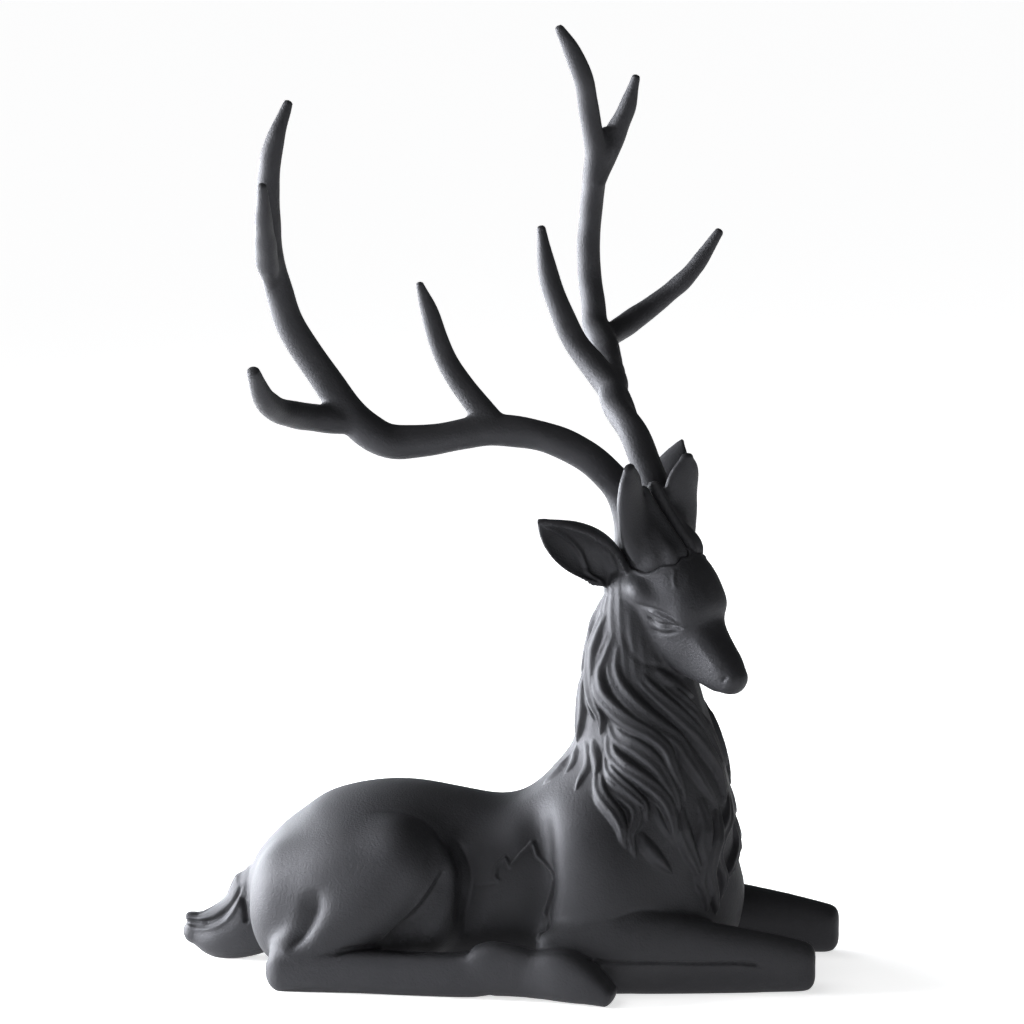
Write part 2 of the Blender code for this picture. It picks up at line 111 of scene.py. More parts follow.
class IronFinish(bpy.types.PropertyGroup):
    """Colour and grain of the black iron."""

    colour: FloatVectorProperty(
        name="Colour", description="Colour of the black iron", subtype="COLOR", size=3,
        default=(0.029, 0.029, 0.0325), min=0, max=1)
    worn_colour: FloatVectorProperty(
        name="Rubbed colour", description="Colour where the black is rubbed thin", subtype="COLOR", size=3,
        default=(0.041, 0.041, 0.045), min=0, max=1)
    roughness: FloatProperty(
        name="Roughness", description="Roughness of the satin surface", default=0.63, min=0, max=1,
        subtype="FACTOR")
    grain_size: FloatProperty(
        name="Grain size", description="Size of the fine casting grain", default=0.001, min=0.0002,
        max=0.005, unit="LENGTH", precision=5)


class StudioLook(bpy.types.PropertyGroup):
    """Floor, background and lights."""

    floor_colour: FloatVectorProperty(
        name="Floor colour", description="Colour of the pale floor", subtype="COLOR", size=3,
        default=(0.86, 0.86, 0.86), min=0, max=1)
    floor_glow: FloatProperty(
        name="Floor glow", description="Light that the floor gives off by itself", default=0.68, min=0,
        max=2, subtype="FACTOR")
    air_light: FloatProperty(
        name="Air light", description="Strength of the dim light from all round", default=0.06, min=0,
        max=2, subtype="FACTOR")
    key_power: FloatProperty(
        name="Key light", description="Power of the big soft light on the left", default=72, min=0,
        max=300, unit="POWER")
    rim_power: FloatProperty(
        name="Rim light", description="Power of the soft light from behind on the left", default=14, min=0,
        max=300, unit="POWER")
    front_power: FloatProperty(
        name="Front light", description="Power of the weak light behind the camera", default=4, min=0,
        max=300, unit="POWER")
    sky_strength: FloatProperty(
        name="Sky light", description="Strength of the wide light from above", default=1.15, min=0,
        max=20, subtype="FACTOR")


# Surfaces as arrays: a form is its points and its faces, in drawn millimetres.


def unit(vectors):
    return vectors / np.maximum(np.linalg.norm(vectors, axis=-1, keepdims=True), 1e-12)


def curve_through(stations, steps):
    """A smooth curve of cubics, whose slope at each station is half the step between its neighbours."""
    knots = np.asarray(stations, float)
    padded = np.vstack([2 * knots[0] - knots[1], knots, 2 * knots[-1] - knots[-2]])
    share = np.linspace(0, 1, steps, endpoint=False)[:, None]
    spans = []
    for a, b, c, d in zip(padded, padded[1:], padded[2:], padded[3:]):
        bend = (3 * (b - c) + d - a) * share**3 + (2 * a - 5 * b + 4 * c - d) * share**2
        spans.append(0.5 * (bend + (c - a) * share) + b)
    return np.vstack(spans + [knots[-1:]])


def skin_of_rings(rings):
    """Rings of points, one after another, joined by quads, with a flat face over each end."""
    count, sides = rings.shape[:2]
    number = np.arange(count * sides).reshape(count, sides)
    after = np.roll(number, -1, axis=1)
    quads = np.stack([number[:-1], after[:-1], after[1:], number[1:]], axis=-1).reshape(-1, 4)
    return rings.reshape(-1, 3), quads.tolist() + [number[0, ::-1].tolist(), number[-1].tolist()]


def squared_circle(sides, square):
    """Points of the curves |a|^square + |b|^square = 1: circles at 2, and boxier above it."""
    turn = np.linspace(0, 2 * math.pi, sides, endpoint=False)[None]
    c, s, power = np.cos(turn), np.sin(turn), 2 / np.asarray(square, float)[:, None]
    return np.sign(c) * np.abs(c) ** power, np.sign(s) * np.abs(s) ** power


# The angles of the rings in a limb's domed ends, and the angles up and round an egg.
DOME = np.radians([84, 68, 51, 34, 17])
EGG_RISE = np.radians(np.linspace(-88, 88, 23))[:, None]
EGG_TURN = np.linspace(0, 2 * math.pi, 36, endpoint=False)[None]


def limb(stations, up=(0, 0, 1), steps=6, sides=32, rounding=1.0, square=2.0):
    """A domed limb through rows of x, y, z, half width and half depth.

    Each ring lies across the curve, its depth along up, and its outline is the squared circle, whose power
    is one number or one for each row. At the ends the ring shrinks by the cosine of an angle as it moves
    out by the sine, times rounding.
    """
    fine = curve_through(stations, steps)
    ups = curve_through(np.broadcast_to(np.asarray(up, float), (len(stations), 3)), steps)
    centre, half = fine[:, :3], np.maximum(fine[:, 3:5], 0.01)
    along = unit(np.gradient(centre, axis=0))
    across = unit(np.cross(ups, along))
    ups = np.cross(along, across)
    last, caps = len(fine) - 1, len(DOME)
    index = np.concatenate([np.zeros(caps, int), np.arange(last + 1), np.full(caps, last)])
    out = np.concatenate([-np.sin(DOME), np.zeros(last + 1), np.sin(DOME[::-1])])
    share = np.concatenate([np.cos(DOME), np.ones(last + 1), np.cos(DOME[::-1])])
    middle = centre[index] + along[index] * (out * rounding * half[index].min(axis=1))[:, None]
    powers = np.interp(np.linspace(0, 1, last + 1), np.linspace(0, 1, len(stations)),
                       np.broadcast_to(square, len(stations)))
    a, b = squared_circle(sides, powers[index])
    wide = across[index, None] * (share * half[index, 0])[:, None, None] * a[:, :, None]
    deep = ups[index, None] * (share * half[index, 1])[:, None, None] * b[:, :, None]
    return skin_of_rings(middle[:, None] + wide + deep)


def egg(centre, radii, turn=(0, 0, 0)):
    """The sphere x = cos a cos b, y = cos a sin b, z = sin a, stretched by radii and turned by degrees."""
    spin = Matrix.Identity(3)
    for angle, axis in zip(turn, "XYZ"):
        spin = Matrix.Rotation(math.radians(angle), 3, axis) @ spin
    ball = np.stack([
        np.cos(EGG_RISE) * np.cos(EGG_TURN),
        np.cos(EGG_RISE) * np.sin(EGG_TURN),
        np.sin(EGG_RISE) * np.ones_like(EGG_TURN),
    ], axis=-1)
    return skin_of_rings(ball * np.asarray(radii, float) @ np.array(spin).T + np.asarray(centre, float))


class Skin:
    """A closed surface of quads as arrays, with what smoothing and carving need."""

    # The share of the way to the mean that a crease is pulled, the hollowness in millimetres from which it
    # is pulled in full, and the rounds between new normals.
    FILLING_PULL = 0.7
    FILLING_FULL_AT = 0.004
    FILLING_REFRESH = 5

    def __init__(self, points, quads):
        self.points, self.quads = points, quads
        pairs = np.sort(np.vstack([quads[:, [0, 1]], quads[:, [1, 2]], quads[:, [2, 3]], quads[:, [3, 0]]]))
        key = np.unique(pairs[:, 0].astype(np.int64) * len(points) + pairs[:, 1])
        self.edges = np.stack([key // len(points), key % len(points)])
        self.ends = np.bincount(self.edges.ravel(), minlength=len(points))
        self.refresh()

    def refresh(self):
        """Normals: the sum of the neighbouring quads' crossed diagonals, made one long."""
        corner = self.points[self.quads]
        face = np.cross(corner[:, 2] - corner[:, 0], corner[:, 3] - corner[:, 1])
        total = np.zeros_like(self.points)
        for k in range(4):
            for axis in range(3):
                total[:, axis] += np.bincount(self.quads[:, k], face[:, axis], len(self.points))
        self.normals = unit(total)

    def neighbour_mean(self, values):
        """For each point, the mean of a quantity over its neighbours."""
        a, b = self.edges
        count = len(self.points)
        sums = [
            np.bincount(a, values[b, k], count) + np.bincount(b, values[a, k], count)
            for k in range(values.shape[1])
        ]
        return np.stack(sums, axis=1) / self.ends[:, None]

    def relax(self, rounds, weight=1.0, swell=0.53):
        """Each round draws the points halfway to their neighbours' mean, then back out by swell."""
        weight = np.broadcast_to(np.asarray(weight, float), len(self.points))[:, None]
        for _ in range(rounds):
            for amount in (0.5, -swell):
                pull = self.neighbour_mean(self.points) - self.points
                self.points = self.points + amount * weight * pull
        self.refresh()

    def soften(self, rounds):
        """Each round draws the points halfway to their neighbours' mean, which fills the creases."""
        self.relax(rounds, swell=0)

    def fill_creases(self, rounds, weight=1.0):
        """Like soften, but only where the neighbours' mean lies outside the skin, so no ridge shrinks."""
        for step in range(rounds):
            pull = self.neighbour_mean(self.points) - self.points
            outward = np.sum(pull * self.normals, axis=1)
            share = weight * np.clip(outward / self.FILLING_FULL_AT, 0, 1)
            self.points = self.points + self.FILLING_PULL * pull * share[:, None]
            if step % self.FILLING_REFRESH == self.FILLING_REFRESH - 1:
                self.refresh()
        self.refresh()

    def work_by_hand(self, height):
        """Slow unevenness: the mean of three products of sines of the place, times the height."""
        x, y, z = self.points.T
        waves = np.sin(x / 2.9 + 0.4 * z / 3) * np.sin(z / 3.7 + y / 5.1)
        waves += np.sin(y / 2.3) * np.sin(z / 5.3 + x / 4.1)
        waves += np.sin((x + z) / 6.1) * np.sin((y - z) / 4.7)
        self.push(height * waves / 3)

    def push(self, rise):
        """Moves every point along its normal by that many millimetres."""
        self.points = self.points + self.normals * rise[:, None]
        self.refresh()


def new_object(name, points, faces):
    """A mesh object from drawn millimetres, linked to the scene."""
    mesh = bpy.data.meshes.new(name)
    mesh.from_pydata((points * MM).tolist(), [], faces if isinstance(faces, list) else faces.tolist())
    item = bpy.data.objects.new(name, mesh)
    bpy.context.scene.collection.objects.link(item)
    return item


def points_of(mesh):
    """A mesh's points in drawn millimetres."""
    points = np.empty(len(mesh.vertices) * 3, np.float32)
    mesh.vertices.foreach_get("co", points)
    return points.reshape(-1, 3).astype(float) / MM


def surface_of(item):
    """A finished object's mesh as points in drawn millimetres and a list of faces."""
    return points_of(item.data), [list(face.vertices) for face in item.data.polygons]


def finished_mesh(item):
    """A new mesh of an object with its modifiers worked in."""
    bpy.context.view_layer.update()
    return bpy.data.meshes.new_from_object(item.evaluated_get(bpy.context.evaluated_depsgraph_get()))


def quads_of(item):
    """An object's finished mesh as points in drawn millimetres and quads."""
    mesh = finished_mesh(item)
    corners = np.empty(len(mesh.loops), np.int32)
    mesh.loops.foreach_get("vertex_index", corners)
    if len(corners) != 4 * len(mesh.polygons):
        raise RuntimeError(item.name + ": the fused skin is expected to have quads only")
    points = points_of(mesh)
    bpy.data.meshes.remove(mesh)
    return points, corners.reshape(-1, 4)


def fused(name, lumps, grain):
    """The forms as one skin: joined, then remeshed in cubic cells with that edge in metres."""
    points, faces, count = [], [], 0
    for some_points, some_faces in lumps:
        points.append(some_points)
        faces += [[corner + count for corner in face] for face in some_faces]
        count += len(some_points)
    item = new_object(name, np.vstack(points), faces)
    remesh = item.modifiers.new("fuse", "REMESH")
    remesh.mode = "VOXEL"
    remesh.voxel_size = grain
    skin = Skin(*quads_of(item))
    bpy.data.objects.remove(item)
    return skin


# The forms of the body. Rows are x, y, z, half width and half depth, with a pair's rows as on the left.
# A side is -1 on the right and 1 on the left.

TORSO = [
    (-101, 0, 31, 23, 18), (-92, 0, 31.5, 36, 28.5), (-80, 0, 31.3, 44, 37), (-62, 0, 32.8, 48.5, 41.6),
    (-45, 0, 33.3, 46, 43.4), (-25, 0, 32.3, 36, 42), (-5, 0, 31.5, 35, 39.5), (12, 0, 32, 35.5, 40),
    (32, 0, 33, 40, 42), (52, 0, 34, 41, 42), (68, 0, 38, 33.5, 37), (79, 0, 46, 23, 25),
]
NECK = [
    (56.5, 0, 42, 36, 35), (57, 0, 62, 35, 35), (56.3, 0, 80, 32, 32), (55, 0, 95, 28, 29),
    (53.5, -1, 108, 24, 26), (52.5, -1, 120, 20, 24), (51, -2, 134, 17.5, 19.6), (51.3, -3, 147, 16, 16.6),
    (53, -4, 158, 14, 14),
]
WITHERS = [(-8, 0, 54, 26, 12), (8, 0, 59, 28, 13), (22, 0, 70, 25, 13), (37, 0, 86, 20, 14)]
THIGH = [(-84, 25, 36, 20, 22), (-70, 27, 38, 23, 25), (-54, 30, 43, 21.5, 25.5), (-42, 33, 49, 18, 20.5)]
SHANK = [(-38, 37, 51, 11, 16), (-49, 40, 40, 12, 17), (-61, 43, 28, 11, 15), (-73, 46, 19, 9, 12),
         (-85, 47, 11, 8.5, 10)]
# What is taken off the thigh's rows for the trunk's own lump under it.
UNDER_THIGH = (0, 1, 1, 1, 1)
HIND_CANNON = [
    (-87, 48, 7.5, 7.5, 8.6), (-60, 49, 8.3, 7.2, 8.6), (-35, 50, 8.3, 6.8, 8.6), (-12, 51, 8.8, 6.8, 8.8),
    (-3, 51.6, 11.6, 7, 10.6), (4, 52, 11.6, 7, 10.4), (15, 53, 10.4, 6.6, 9.2),
]
HIND_HOOF = [(8, 52.4, 10.6, 6.4, 9.2), (17, 53.4, 10.4, 7, 9.4), (26, 54.8, 10.9, 7.9, 10.3),
             (36, 56, 8.4, 8, 8.6), (46, 57.2, 3.6, 6.8, 4.2)]

# Eggs in pairs, as on the left: centre, radii and turn in degrees.
SHOULDER = ((39, 23, 38), (29, 24, 44), (0, -6, 0))
BREAST = ((50, 18, 58), (28, 20, 34), (0, 10, 0))
BUTTOCK = ((-87, 27, 29), (18, 19, 27), (0, 0, 0))
FLANK_FOLD = ((-30, 34.5, 36), (14, 9.5, 25), (0, 0, 0))

# Each foreleg's side, its elbow and its knee as x and distance from the middle plane.
FORE_LEGS = [(-1, (30, 42), (122.4, 26.5)), (1, (30, 38), (129.8, 36))]
# Rows of the forearm and of the cannon folded under it: share of the way from elbow to knee, height, half
# width and half depth.
FOREARM = [(-0.12, 17, 8, 10), (0.05, 18.5, 9, 13), (0.22, 20, 10, 13.2), (0.42, 20.6, 9, 11.4),
           (0.6, 18.6, 8, 9.6), (0.8, 15.9, 7.7, 8.6), (1.0, 12, 7.4, 8.0)]
FORE_CANNON = [(1.0, 7, 7.2, 6.7), (0.75, 6.4, 6.6, 6.5), (0.45, 6.2, 6.2, 6.4), (0.22, 6.6, 6.6, 6.6),
               (0.05, 6, 7, 6)]


def sided(rows, side):
    return [(x, side * y, z, w, d) for x, y, z, w, d in rows]


def sided_egg(form, side):
    (x, y, z), radii, turn = form
    return egg((x, side * y, z), radii, turn)


def trunk_forms():
    """Trunk, neck and withers, and on each side shoulder, breast, buttock and the lump under the thigh."""
    forms = [
        limb(TORSO, sides=48, rounding=0.5),
        limb(NECK, up=(1, 0, 0), sides=48, rounding=0.5),
        limb(WITHERS),
    ]
    for side in (-1, 1):
        forms += [sided_egg(form, side) for form in (SHOULDER, BREAST, BUTTOCK)]
        forms.append(limb(sided(np.subtract(THIGH, UNDER_THIGH), side)))
    return forms


def hind_foot_forms(side):
    """The hind cannon with its fetlock and hoof, laid forward along the ground."""
    hoof = limb(sided(HIND_HOOF, side), square=3.0, rounding=0.5)
    return [limb(sided(HIND_CANNON, side), square=3.3), hoof]


def fore_leg_forms(side, elbow, knee):
    """The forearm, and the cannon folded back under it."""
    (ex, ey), (kx, ky) = elbow, knee
    forearm, cannon = [
        [(ex + t * (kx - ex), side * (ey + t * (ky - ey)), z, w, d) for t, z, w, d in rows]
        for rows in (FOREARM, FORE_CANNON)
    ]
    return [limb(forearm, square=2.6, rounding=0.5), limb(cannon, square=3.2, rounding=0.6)]


def tail_forms():
    """A short tail like a boat, with a tuft of hair lying over it."""
    boat = [(-104, 0, 20, 13, 19), (-114, 0, 12, 13, 13), (-124, 0, 9, 11, 10), (-133, 0, 10, 6, 5.5)]
    tuft = [(-96, 0, 38, 12, 10), (-107, 0, 33, 10, 6.5), (-114, 0, 25.5, 9, 5), (-121, 0, 20, 8, 3.5),
            (-130, 0, 16, 6, 2.4), (-135.8, 0, 16.3, 4, 1.8)]
    return [limb(boat), limb(tuft)]


def turned(place, yaw, pitch, roll):
    """A frame at a place: turned left by yaw, nose down by pitch and left side up by roll, in degrees."""
    spin = Matrix.Identity(4)
    for angle, axis in ((yaw, "Z"), (pitch, "Y"), (roll, "X")):
        spin = spin @ Matrix.Rotation(math.radians(angle), 4, axis)
    return np.array(Matrix.Translation(place) @ spin)


# The head's and the crown's own directions: forward, left and up.
HEAD = turned((58, -3, 170), -35, 43, 12)
CROWN = turned((57, -2, 171), -35, 0, 14)


def placed(frame_of, points):
    """Points given in a frame's own directions, as places in the statue."""
    return np.asarray(points, float) @ frame_of[:3, :3].T + frame_of[:3, 3]


def told(frame_of, points):
    """Places in the statue, in a frame's own directions."""
    return (points - frame_of[:3, 3]) @ frame_of[:3, :3]


def framed_limb(frame_of, rows, up=(0, 0, 1), **options):
    """A limb whose rows are given in a frame's own directions: forward, left and up."""
    rows = np.asarray(rows, float)
    stations = np.hstack([placed(frame_of, rows[:, :3]), rows[:, 3:]])
    return limb(stations, up=frame_of[:3, :3] @ np.asarray(up, float), **options)


# Rows in the head's own directions, a pair's as on the left, and how square each row of the skull is.
SKULL = [
    (-8, 0, -8, 9, 11), (2, 0, -6.6, 13.8, 16.4), (12, 0, -2.8, 16.3, 21.1), (22, 0, -3.9, 16.2, 21),
    (32, 0, -7.6, 13.5, 16.8), (41, 0, -7.4, 10, 13.4), (49, 0, -6, 8.3, 10.4), (55, 0, -4.8, 7.6, 8.6),
    (61, 0, -3.8, 6.2, 6.0),
]
SKULL_SQUARENESS = (2, 2.1, 2.3, 2.4, 2.7, 3.1, 3.2, 3.0, 2.5)
CHIN = [(36, 0, -12.6, 6.5, 7.8), (46, 0, -12.0, 6.2, 6.2), (55, 0, -10.6, 5.6, 4.8)]
BROW = [(3, 12, -1, 4.3, 5), (9.5, 15.2, 0, 4.5, 5), (16, 15, 1.8, 4, 4.2), (23, 13.2, 3.8, 3.2, 3.4),
        (29, 10.4, 4.4, 2.4, 2.6)]
CHEEK = [(8, 9, -14, 6, 9), (20, 10, -14, 6, 10), (33, 7, -12, 5, 7)]
NAPE = ((51, -3, 160), (13, 14, 12.5))


def head_forms():
    """Skull with muzzle, chin, nape, brows and cheeks."""
    forms = [
        framed_limb(HEAD, SKULL, rounding=0.7, square=SKULL_SQUARENESS),
        framed_limb(HEAD, CHIN),
        egg(*NAPE),
    ]
    for side in (-1, 1):
        forms += [framed_limb(HEAD, sided(BROW, side)), framed_limb(HEAD, sided(CHEEK, side))]
    return forms


# Each ear's root, tip and the way its cup faces.
EARS = [
    ((47, -10, 162), (16, -37, 190.8), (0, -0.75, -0.6)),
    ((53, 15, 169), (68, 34, 221.5), (0.45, 0.8, -0.45)),
]
EAR_LENGTH = 52
EAR_WALL = 2.4
# Rows along the ear: share of its length, half breadth as a share of the length, and depth of the cup.
EAR_LEAF = [
    (0.0, 0.11, 0.6), (0.12, 0.15, 0.7), (0.3, 0.22, 0.8), (0.5, 0.24, 0.78), (0.7, 0.195, 0.7),
    (0.87, 0.11, 0.5), (1.0, 0.014, 0.2),
]


def ear_form(root, tip, facing):
    """A leaf along the ear, cupped towards the way it faces.

    Each ring is half an ellipse and, a wall in front of it, a slightly narrower one back again.
    """
    root, tip = np.array(root, float), np.array(tip, float)
    axis = unit(tip - root)
    across = unit(np.cross(axis, facing))
    front = np.cross(across, axis)
    leaf = curve_through(EAR_LEAF, 5)
    share, wide, cup = leaf[:, :1], leaf[:, 1:2] * EAR_LENGTH, leaf[:, 2:3]
    arc = np.linspace(0, math.pi, 21)[None]
    wall = EAR_WALL / wide
    side = np.hstack([np.cos(arc) + 0 * wall, np.cos(arc[:, ::-1]) * np.maximum(1 - 0.7 * wall, 0.3)])
    lift = np.hstack([-cup * np.sin(arc), -cup * np.sin(arc[:, ::-1]) + wall])
    middle = root + axis * EAR_LENGTH * share
    rings = middle[:, None] + across * (wide * side)[..., None] + front * (wide * lift)[..., None]
    return skin_of_rings(rings)


# The antlers. Rows are x, y, z and radius along each round branch.


RIGHT_ANTLER = [
    [(52.5, -9, 172, 7.6), (50.5, -9, 179, 7.6), (49.5, -10, 188, 7.1), (46.5, -11, 198, 6.7),
     (41, -13, 206, 6.4), (31, -16, 215, 6.3), (14, -18, 222.5, 6.2), (-6, -21, 225, 6.4),
     (-26, -25, 221.7, 6.2), (-44, -28, 220.5, 7.0), (-54, -30, 225, 7.2), (-63, -31, 234, 6.6),
     (-75, -33, 252, 6.1), (-84, -36, 267, 5.9), (-88.5, -40, 283, 5.5), (-90.5, -46, 298, 5.2),
     (-90, -52, 312, 5.0), (-89, -57, 323, 4.6), (-87, -60, 335, 4.2), (-84, -61, 345, 3.4),
     (-80, -60, 356, 1.8)],
    [(-3, -21, 225, 5.6), (-13, -18, 236, 5.0), (-23, -15, 249, 4.5), (-28, -15, 261, 4.1),
     (-32, -15, 273, 3.3), (-35, -18, 283, 1.7)],
    [(-55, -30, 228, 4.6), (-68, -36, 230, 5.6), (-77, -44, 232, 5.4), (-84, -61, 236, 5.1),
     (-87, -79, 243, 4.4), (-88, -94.3, 254.6, 2.6)],
    [(-90, -43, 284, 3.0), (-90, -55, 295, 4.6), (-88.5, -67, 306, 4.0), (-87, -77, 316, 3.0),
     (-86, -83.5, 325, 1.5)],
]
LEFT_ANTLER = [
    [(61.5, 6, 173, 7.6), (60.5, 6, 181, 7.6), (59, 5, 189, 7.2), (57.5, 5, 199, 6.7), (54, 6, 209, 6.3),
     (48.5, 10, 221, 6.0), (40, 22, 231, 5.7), (37.2, 39, 238, 6.3), (34, 59, 242, 6.0),
     (31, 76, 247, 6.0), (28.5, 83, 252, 5.9), (25, 89, 258, 5.5), (23.5, 92, 268, 5.2),
     (22, 94, 279, 5.0), (21.5, 93, 292, 4.9), (22.5, 91, 305, 4.8), (24.5, 86, 320, 5.0),
     (25.5, 83, 332, 4.7), (23.5, 78, 347, 4.3), (21.5, 72, 362, 4.2), (17, 68, 374, 3.7),
     (11.9, 64, 383.6, 1.9)],
    [(45, 20, 226, 4.6), (38.5, 31, 235, 5.8), (30.5, 38, 244, 5.8), (22, 41, 254, 5.2), (16, 41, 266, 4.8),
     (10.2, 41, 283, 4.1), (7, 41, 302, 2.0)],
    [(31, 74, 246, 4.2), (30.5, 88, 252, 4.8), (38, 103, 257.5, 5.0), (51, 113, 267, 4.3),
     (64, 116, 279, 3.7), (75.8, 117.6, 296.2, 2.0)],
    [(25, 85, 318, 4.0), (31.7, 90, 336, 4.8), (38, 89, 350, 3.7), (42, 87, 363, 1.8)],
    [(25, 85, 322, 4.0), (28, 86, 333, 5.4), (29.5, 86, 341, 2.2)],
]

# The leaf-shaped brow tine, the swollen foot and the tongues over it, in the crown's own directions. On the
# far antler the tine is lower and the tongues are narrower, by the two shares below.
BROW_TINE = [
    (8, 8.3, 3.5, 5, 4.5), (7, 10.5, 9, 8.2, 5.3), (6.5, 13.5, 18, 9.2, 4.5), (8, 15.5, 30, 8.8, 3.7),
    (10.5, 17, 40, 6.8, 3), (12, 17.7, 46, 3.2, 2),
]
BROW_TINE_TOE_IN = math.radians(8)
ANTLER_FOOT = [(5.5, 7.2, -6, 5.8, 8.5), (5.5, 7.6, 0, 6.3, 9.4), (5, 8.4, 7, 7, 9), (3.6, 9.4, 16, 5.6, 7),
               (2.5, 10, 24, 4, 5)]
ANTLER_TONGUES = [
    [(14, 3.4, -4, 3.3, 4), (17, 3.4, 4.5, 3.6, 5.6), (13.6, 3.2, 12, 3.3, 4.9), (9, 3.4, 20, 2.9, 4.4),
     (4.8, 4, 31, 2.2, 3)],
    [(12, 8.6, -4, 3.4, 4), (15.4, 8.8, 4.5, 3.8, 6.6), (11.8, 8.2, 12, 3.4, 4.9), (7.6, 7.4, 19, 2.8, 4.2),
     (4, 7, 28, 2, 3)],
    [(9, 8.6, -4, 4, 5.5), (9.4, 10.8, 4.5, 5.8, 8), (8, 11.4, 11, 5.4, 6.6), (6.5, 13, 19, 5, 4.4)],
]
FAR_TINE_HEIGHT = 0.84
FAR_FOOT_BREADTH = 0.8
# The branches are round, and this only keeps their rings from twisting.
BRANCH_UP = (0.35, -0.45, 0.1)


def antler_forms(side, branches):
    """The round branches, the foot with its tongues, and the flat brow tine of one antler."""
    forms = []
    for rows in branches:
        stations = [(x, y, z, radius, radius) for x, y, z, radius in rows]
        forms.append(limb(stations, up=BRANCH_UP, sides=28, rounding=0.6))
    forms.append(framed_limb(CROWN, sided(ANTLER_FOOT, side), up=(1, 0, 0), rounding=0.4))
    broad, tall = (FAR_FOOT_BREADTH, FAR_TINE_HEIGHT) if side > 0 else (1, 1)
    for rows in ANTLER_TONGUES:
        tongue = [(f, broad * left, high, broad * w, d) for f, left, high, w, d in rows]
        forms.append(framed_limb(CROWN, sided(tongue, side), up=(1, 0, 0)))
    face = (math.cos(BROW_TINE_TOE_IN), -side * math.sin(BROW_TINE_TOE_IN), 0)
    tine = [(f, left, tall * high, w, d) for f, left, high, w, d in BROW_TINE]
    forms.append(framed_limb(CROWN, sided(tine, side), up=face))
    return forms


# Finding places on the statue.


# Distances from the camera between which the statue lies.
REACHES = np.arange(1380, 1600, 5.0)


def ground_to(pixels, tree):
    """Places on the skin under the photograph's pixels, along rays from the camera, or else the nearest."""
    found = []
    eye = Vector(CAMERA_PLACE)
    for across, down in pixels:
        way = -CAMERA_BACK * PIXELS_PER_SLOPE + CAMERA_RIGHT * (across - PHOTO_SIZE / 2)
        way = Vector(unit(way + CAMERA_UP * (PHOTO_SIZE / 2 - down)))
        hit = tree.ray_cast(eye, way)[0]
        if hit is None:
            tries = [tree.find_nearest(eye + way * reach) for reach in REACHES]
            hit = min(tries, key=lambda place: place[3])[0]
        found.append(tuple(hit))
    return np.array(found)


def traced(pixels, tree):
    """A smooth path on the skin under the photograph's pixels."""
    return curve_through(ground_to(pixels, tree), 5)


def over_the_spine(points):
    return points * (1, -1, 1)


def over_the_face(points):
    return placed(HEAD, told(HEAD, points) * (1, -1, 1))


def mirrored(path, tree, mirror):
    """The path's image by one of the two mirrors above, laid back on the skin."""
    return np.array([tuple(tree.find_nearest(Vector(place))[0]) for place in mirror(path)])


def near_path(skin, path, reach):
    """The skin's points within reach of a path: their numbers, share along it, distance and signed side.

    Each point is measured from its nearest segment, with what lies along the skin's normal left out.
    """
    low, high = path.min(axis=0) - reach, path.max(axis=0) + reach
    inside = np.all((skin.points > low) & (skin.points < high), axis=1)
    index = np.flatnonzero(inside)
    place, normal = skin.points[index], skin.normals[index]
    start, run = path[:-1], np.diff(path, axis=0)
    length = np.maximum(np.linalg.norm(run, axis=1), 1e-6)
    offset = place[:, None] - start[None]
    share = np.clip(np.einsum("nmk,mk->nm", offset, run) / length**2, 0, 1)
    gap = offset - share[..., None] * run[None]
    distance = np.linalg.norm(gap, axis=2)
    best = distance.argmin(axis=1)
    row = np.arange(len(index))
    gap, share, distance = gap[row, best], share[row, best], distance[row, best]
    flat = gap - normal * np.sum(gap * normal, axis=1)[:, None]
    far = np.linalg.norm(flat, axis=1)
    side = np.sign(np.sum(np.cross(normal, run[best]) * gap, axis=1))
    travelled = np.concatenate([[0], np.cumsum(length)])
    along = (travelled[best] + share * length[best]) / travelled[-1]
    keep = (far < reach) & (distance < 2.5 * reach)
    return index[keep], along[keep], far[keep], side[keep]


def line_relief(skin, rise, path, height, width, ends):
    """Adds a ridge, or with a negative height a groove: height times exp(-(distance / width) squared).

    It fades in and out over the first and last share of the path.
    """
    index, along, far, _ = near_path(skin, path, 3 * width)
    fade = np.clip(np.minimum(along, 1 - along) / ends, 0, 1)
    rise[index] += height * np.exp(-(far / width) ** 2) * fade * fade * (3 - 2 * fade)


def step_relief(skin, rise, path, height, width, hand):
    """Lifts one side of a path, or lowers it: height times exp(-(distance / width) squared).

    Between the sides is a slope, two millimetres wide, and the step fades at the path's ends. A hand of 1
    picks the side in front of a path down the near flank, and -1 that side of one down the far flank.
    """
    index, along, far, side = near_path(skin, path, 2.6 * width)
    share = np.clip(0.5 + 0.5 * hand * side * far, 0, 1)
    fade = np.clip(np.minimum(along, 1 - along) / 0.25, 0, 1)
    rise[index] += height * np.exp(-(far / width) ** 2) * share * fade * fade * (3 - 2 * fade)


def dimple(skin, rise, centre, radii, frame_of, height):
    """Adds a bump, or a hollow: height times exp(-r squared), r the distance in radii along the frame."""
    apart = told(frame_of, skin.points) - told(frame_of, np.asarray(centre, float))
    rise += height * np.exp(-np.sum((apart / np.asarray(radii, float)) ** 2, axis=1))


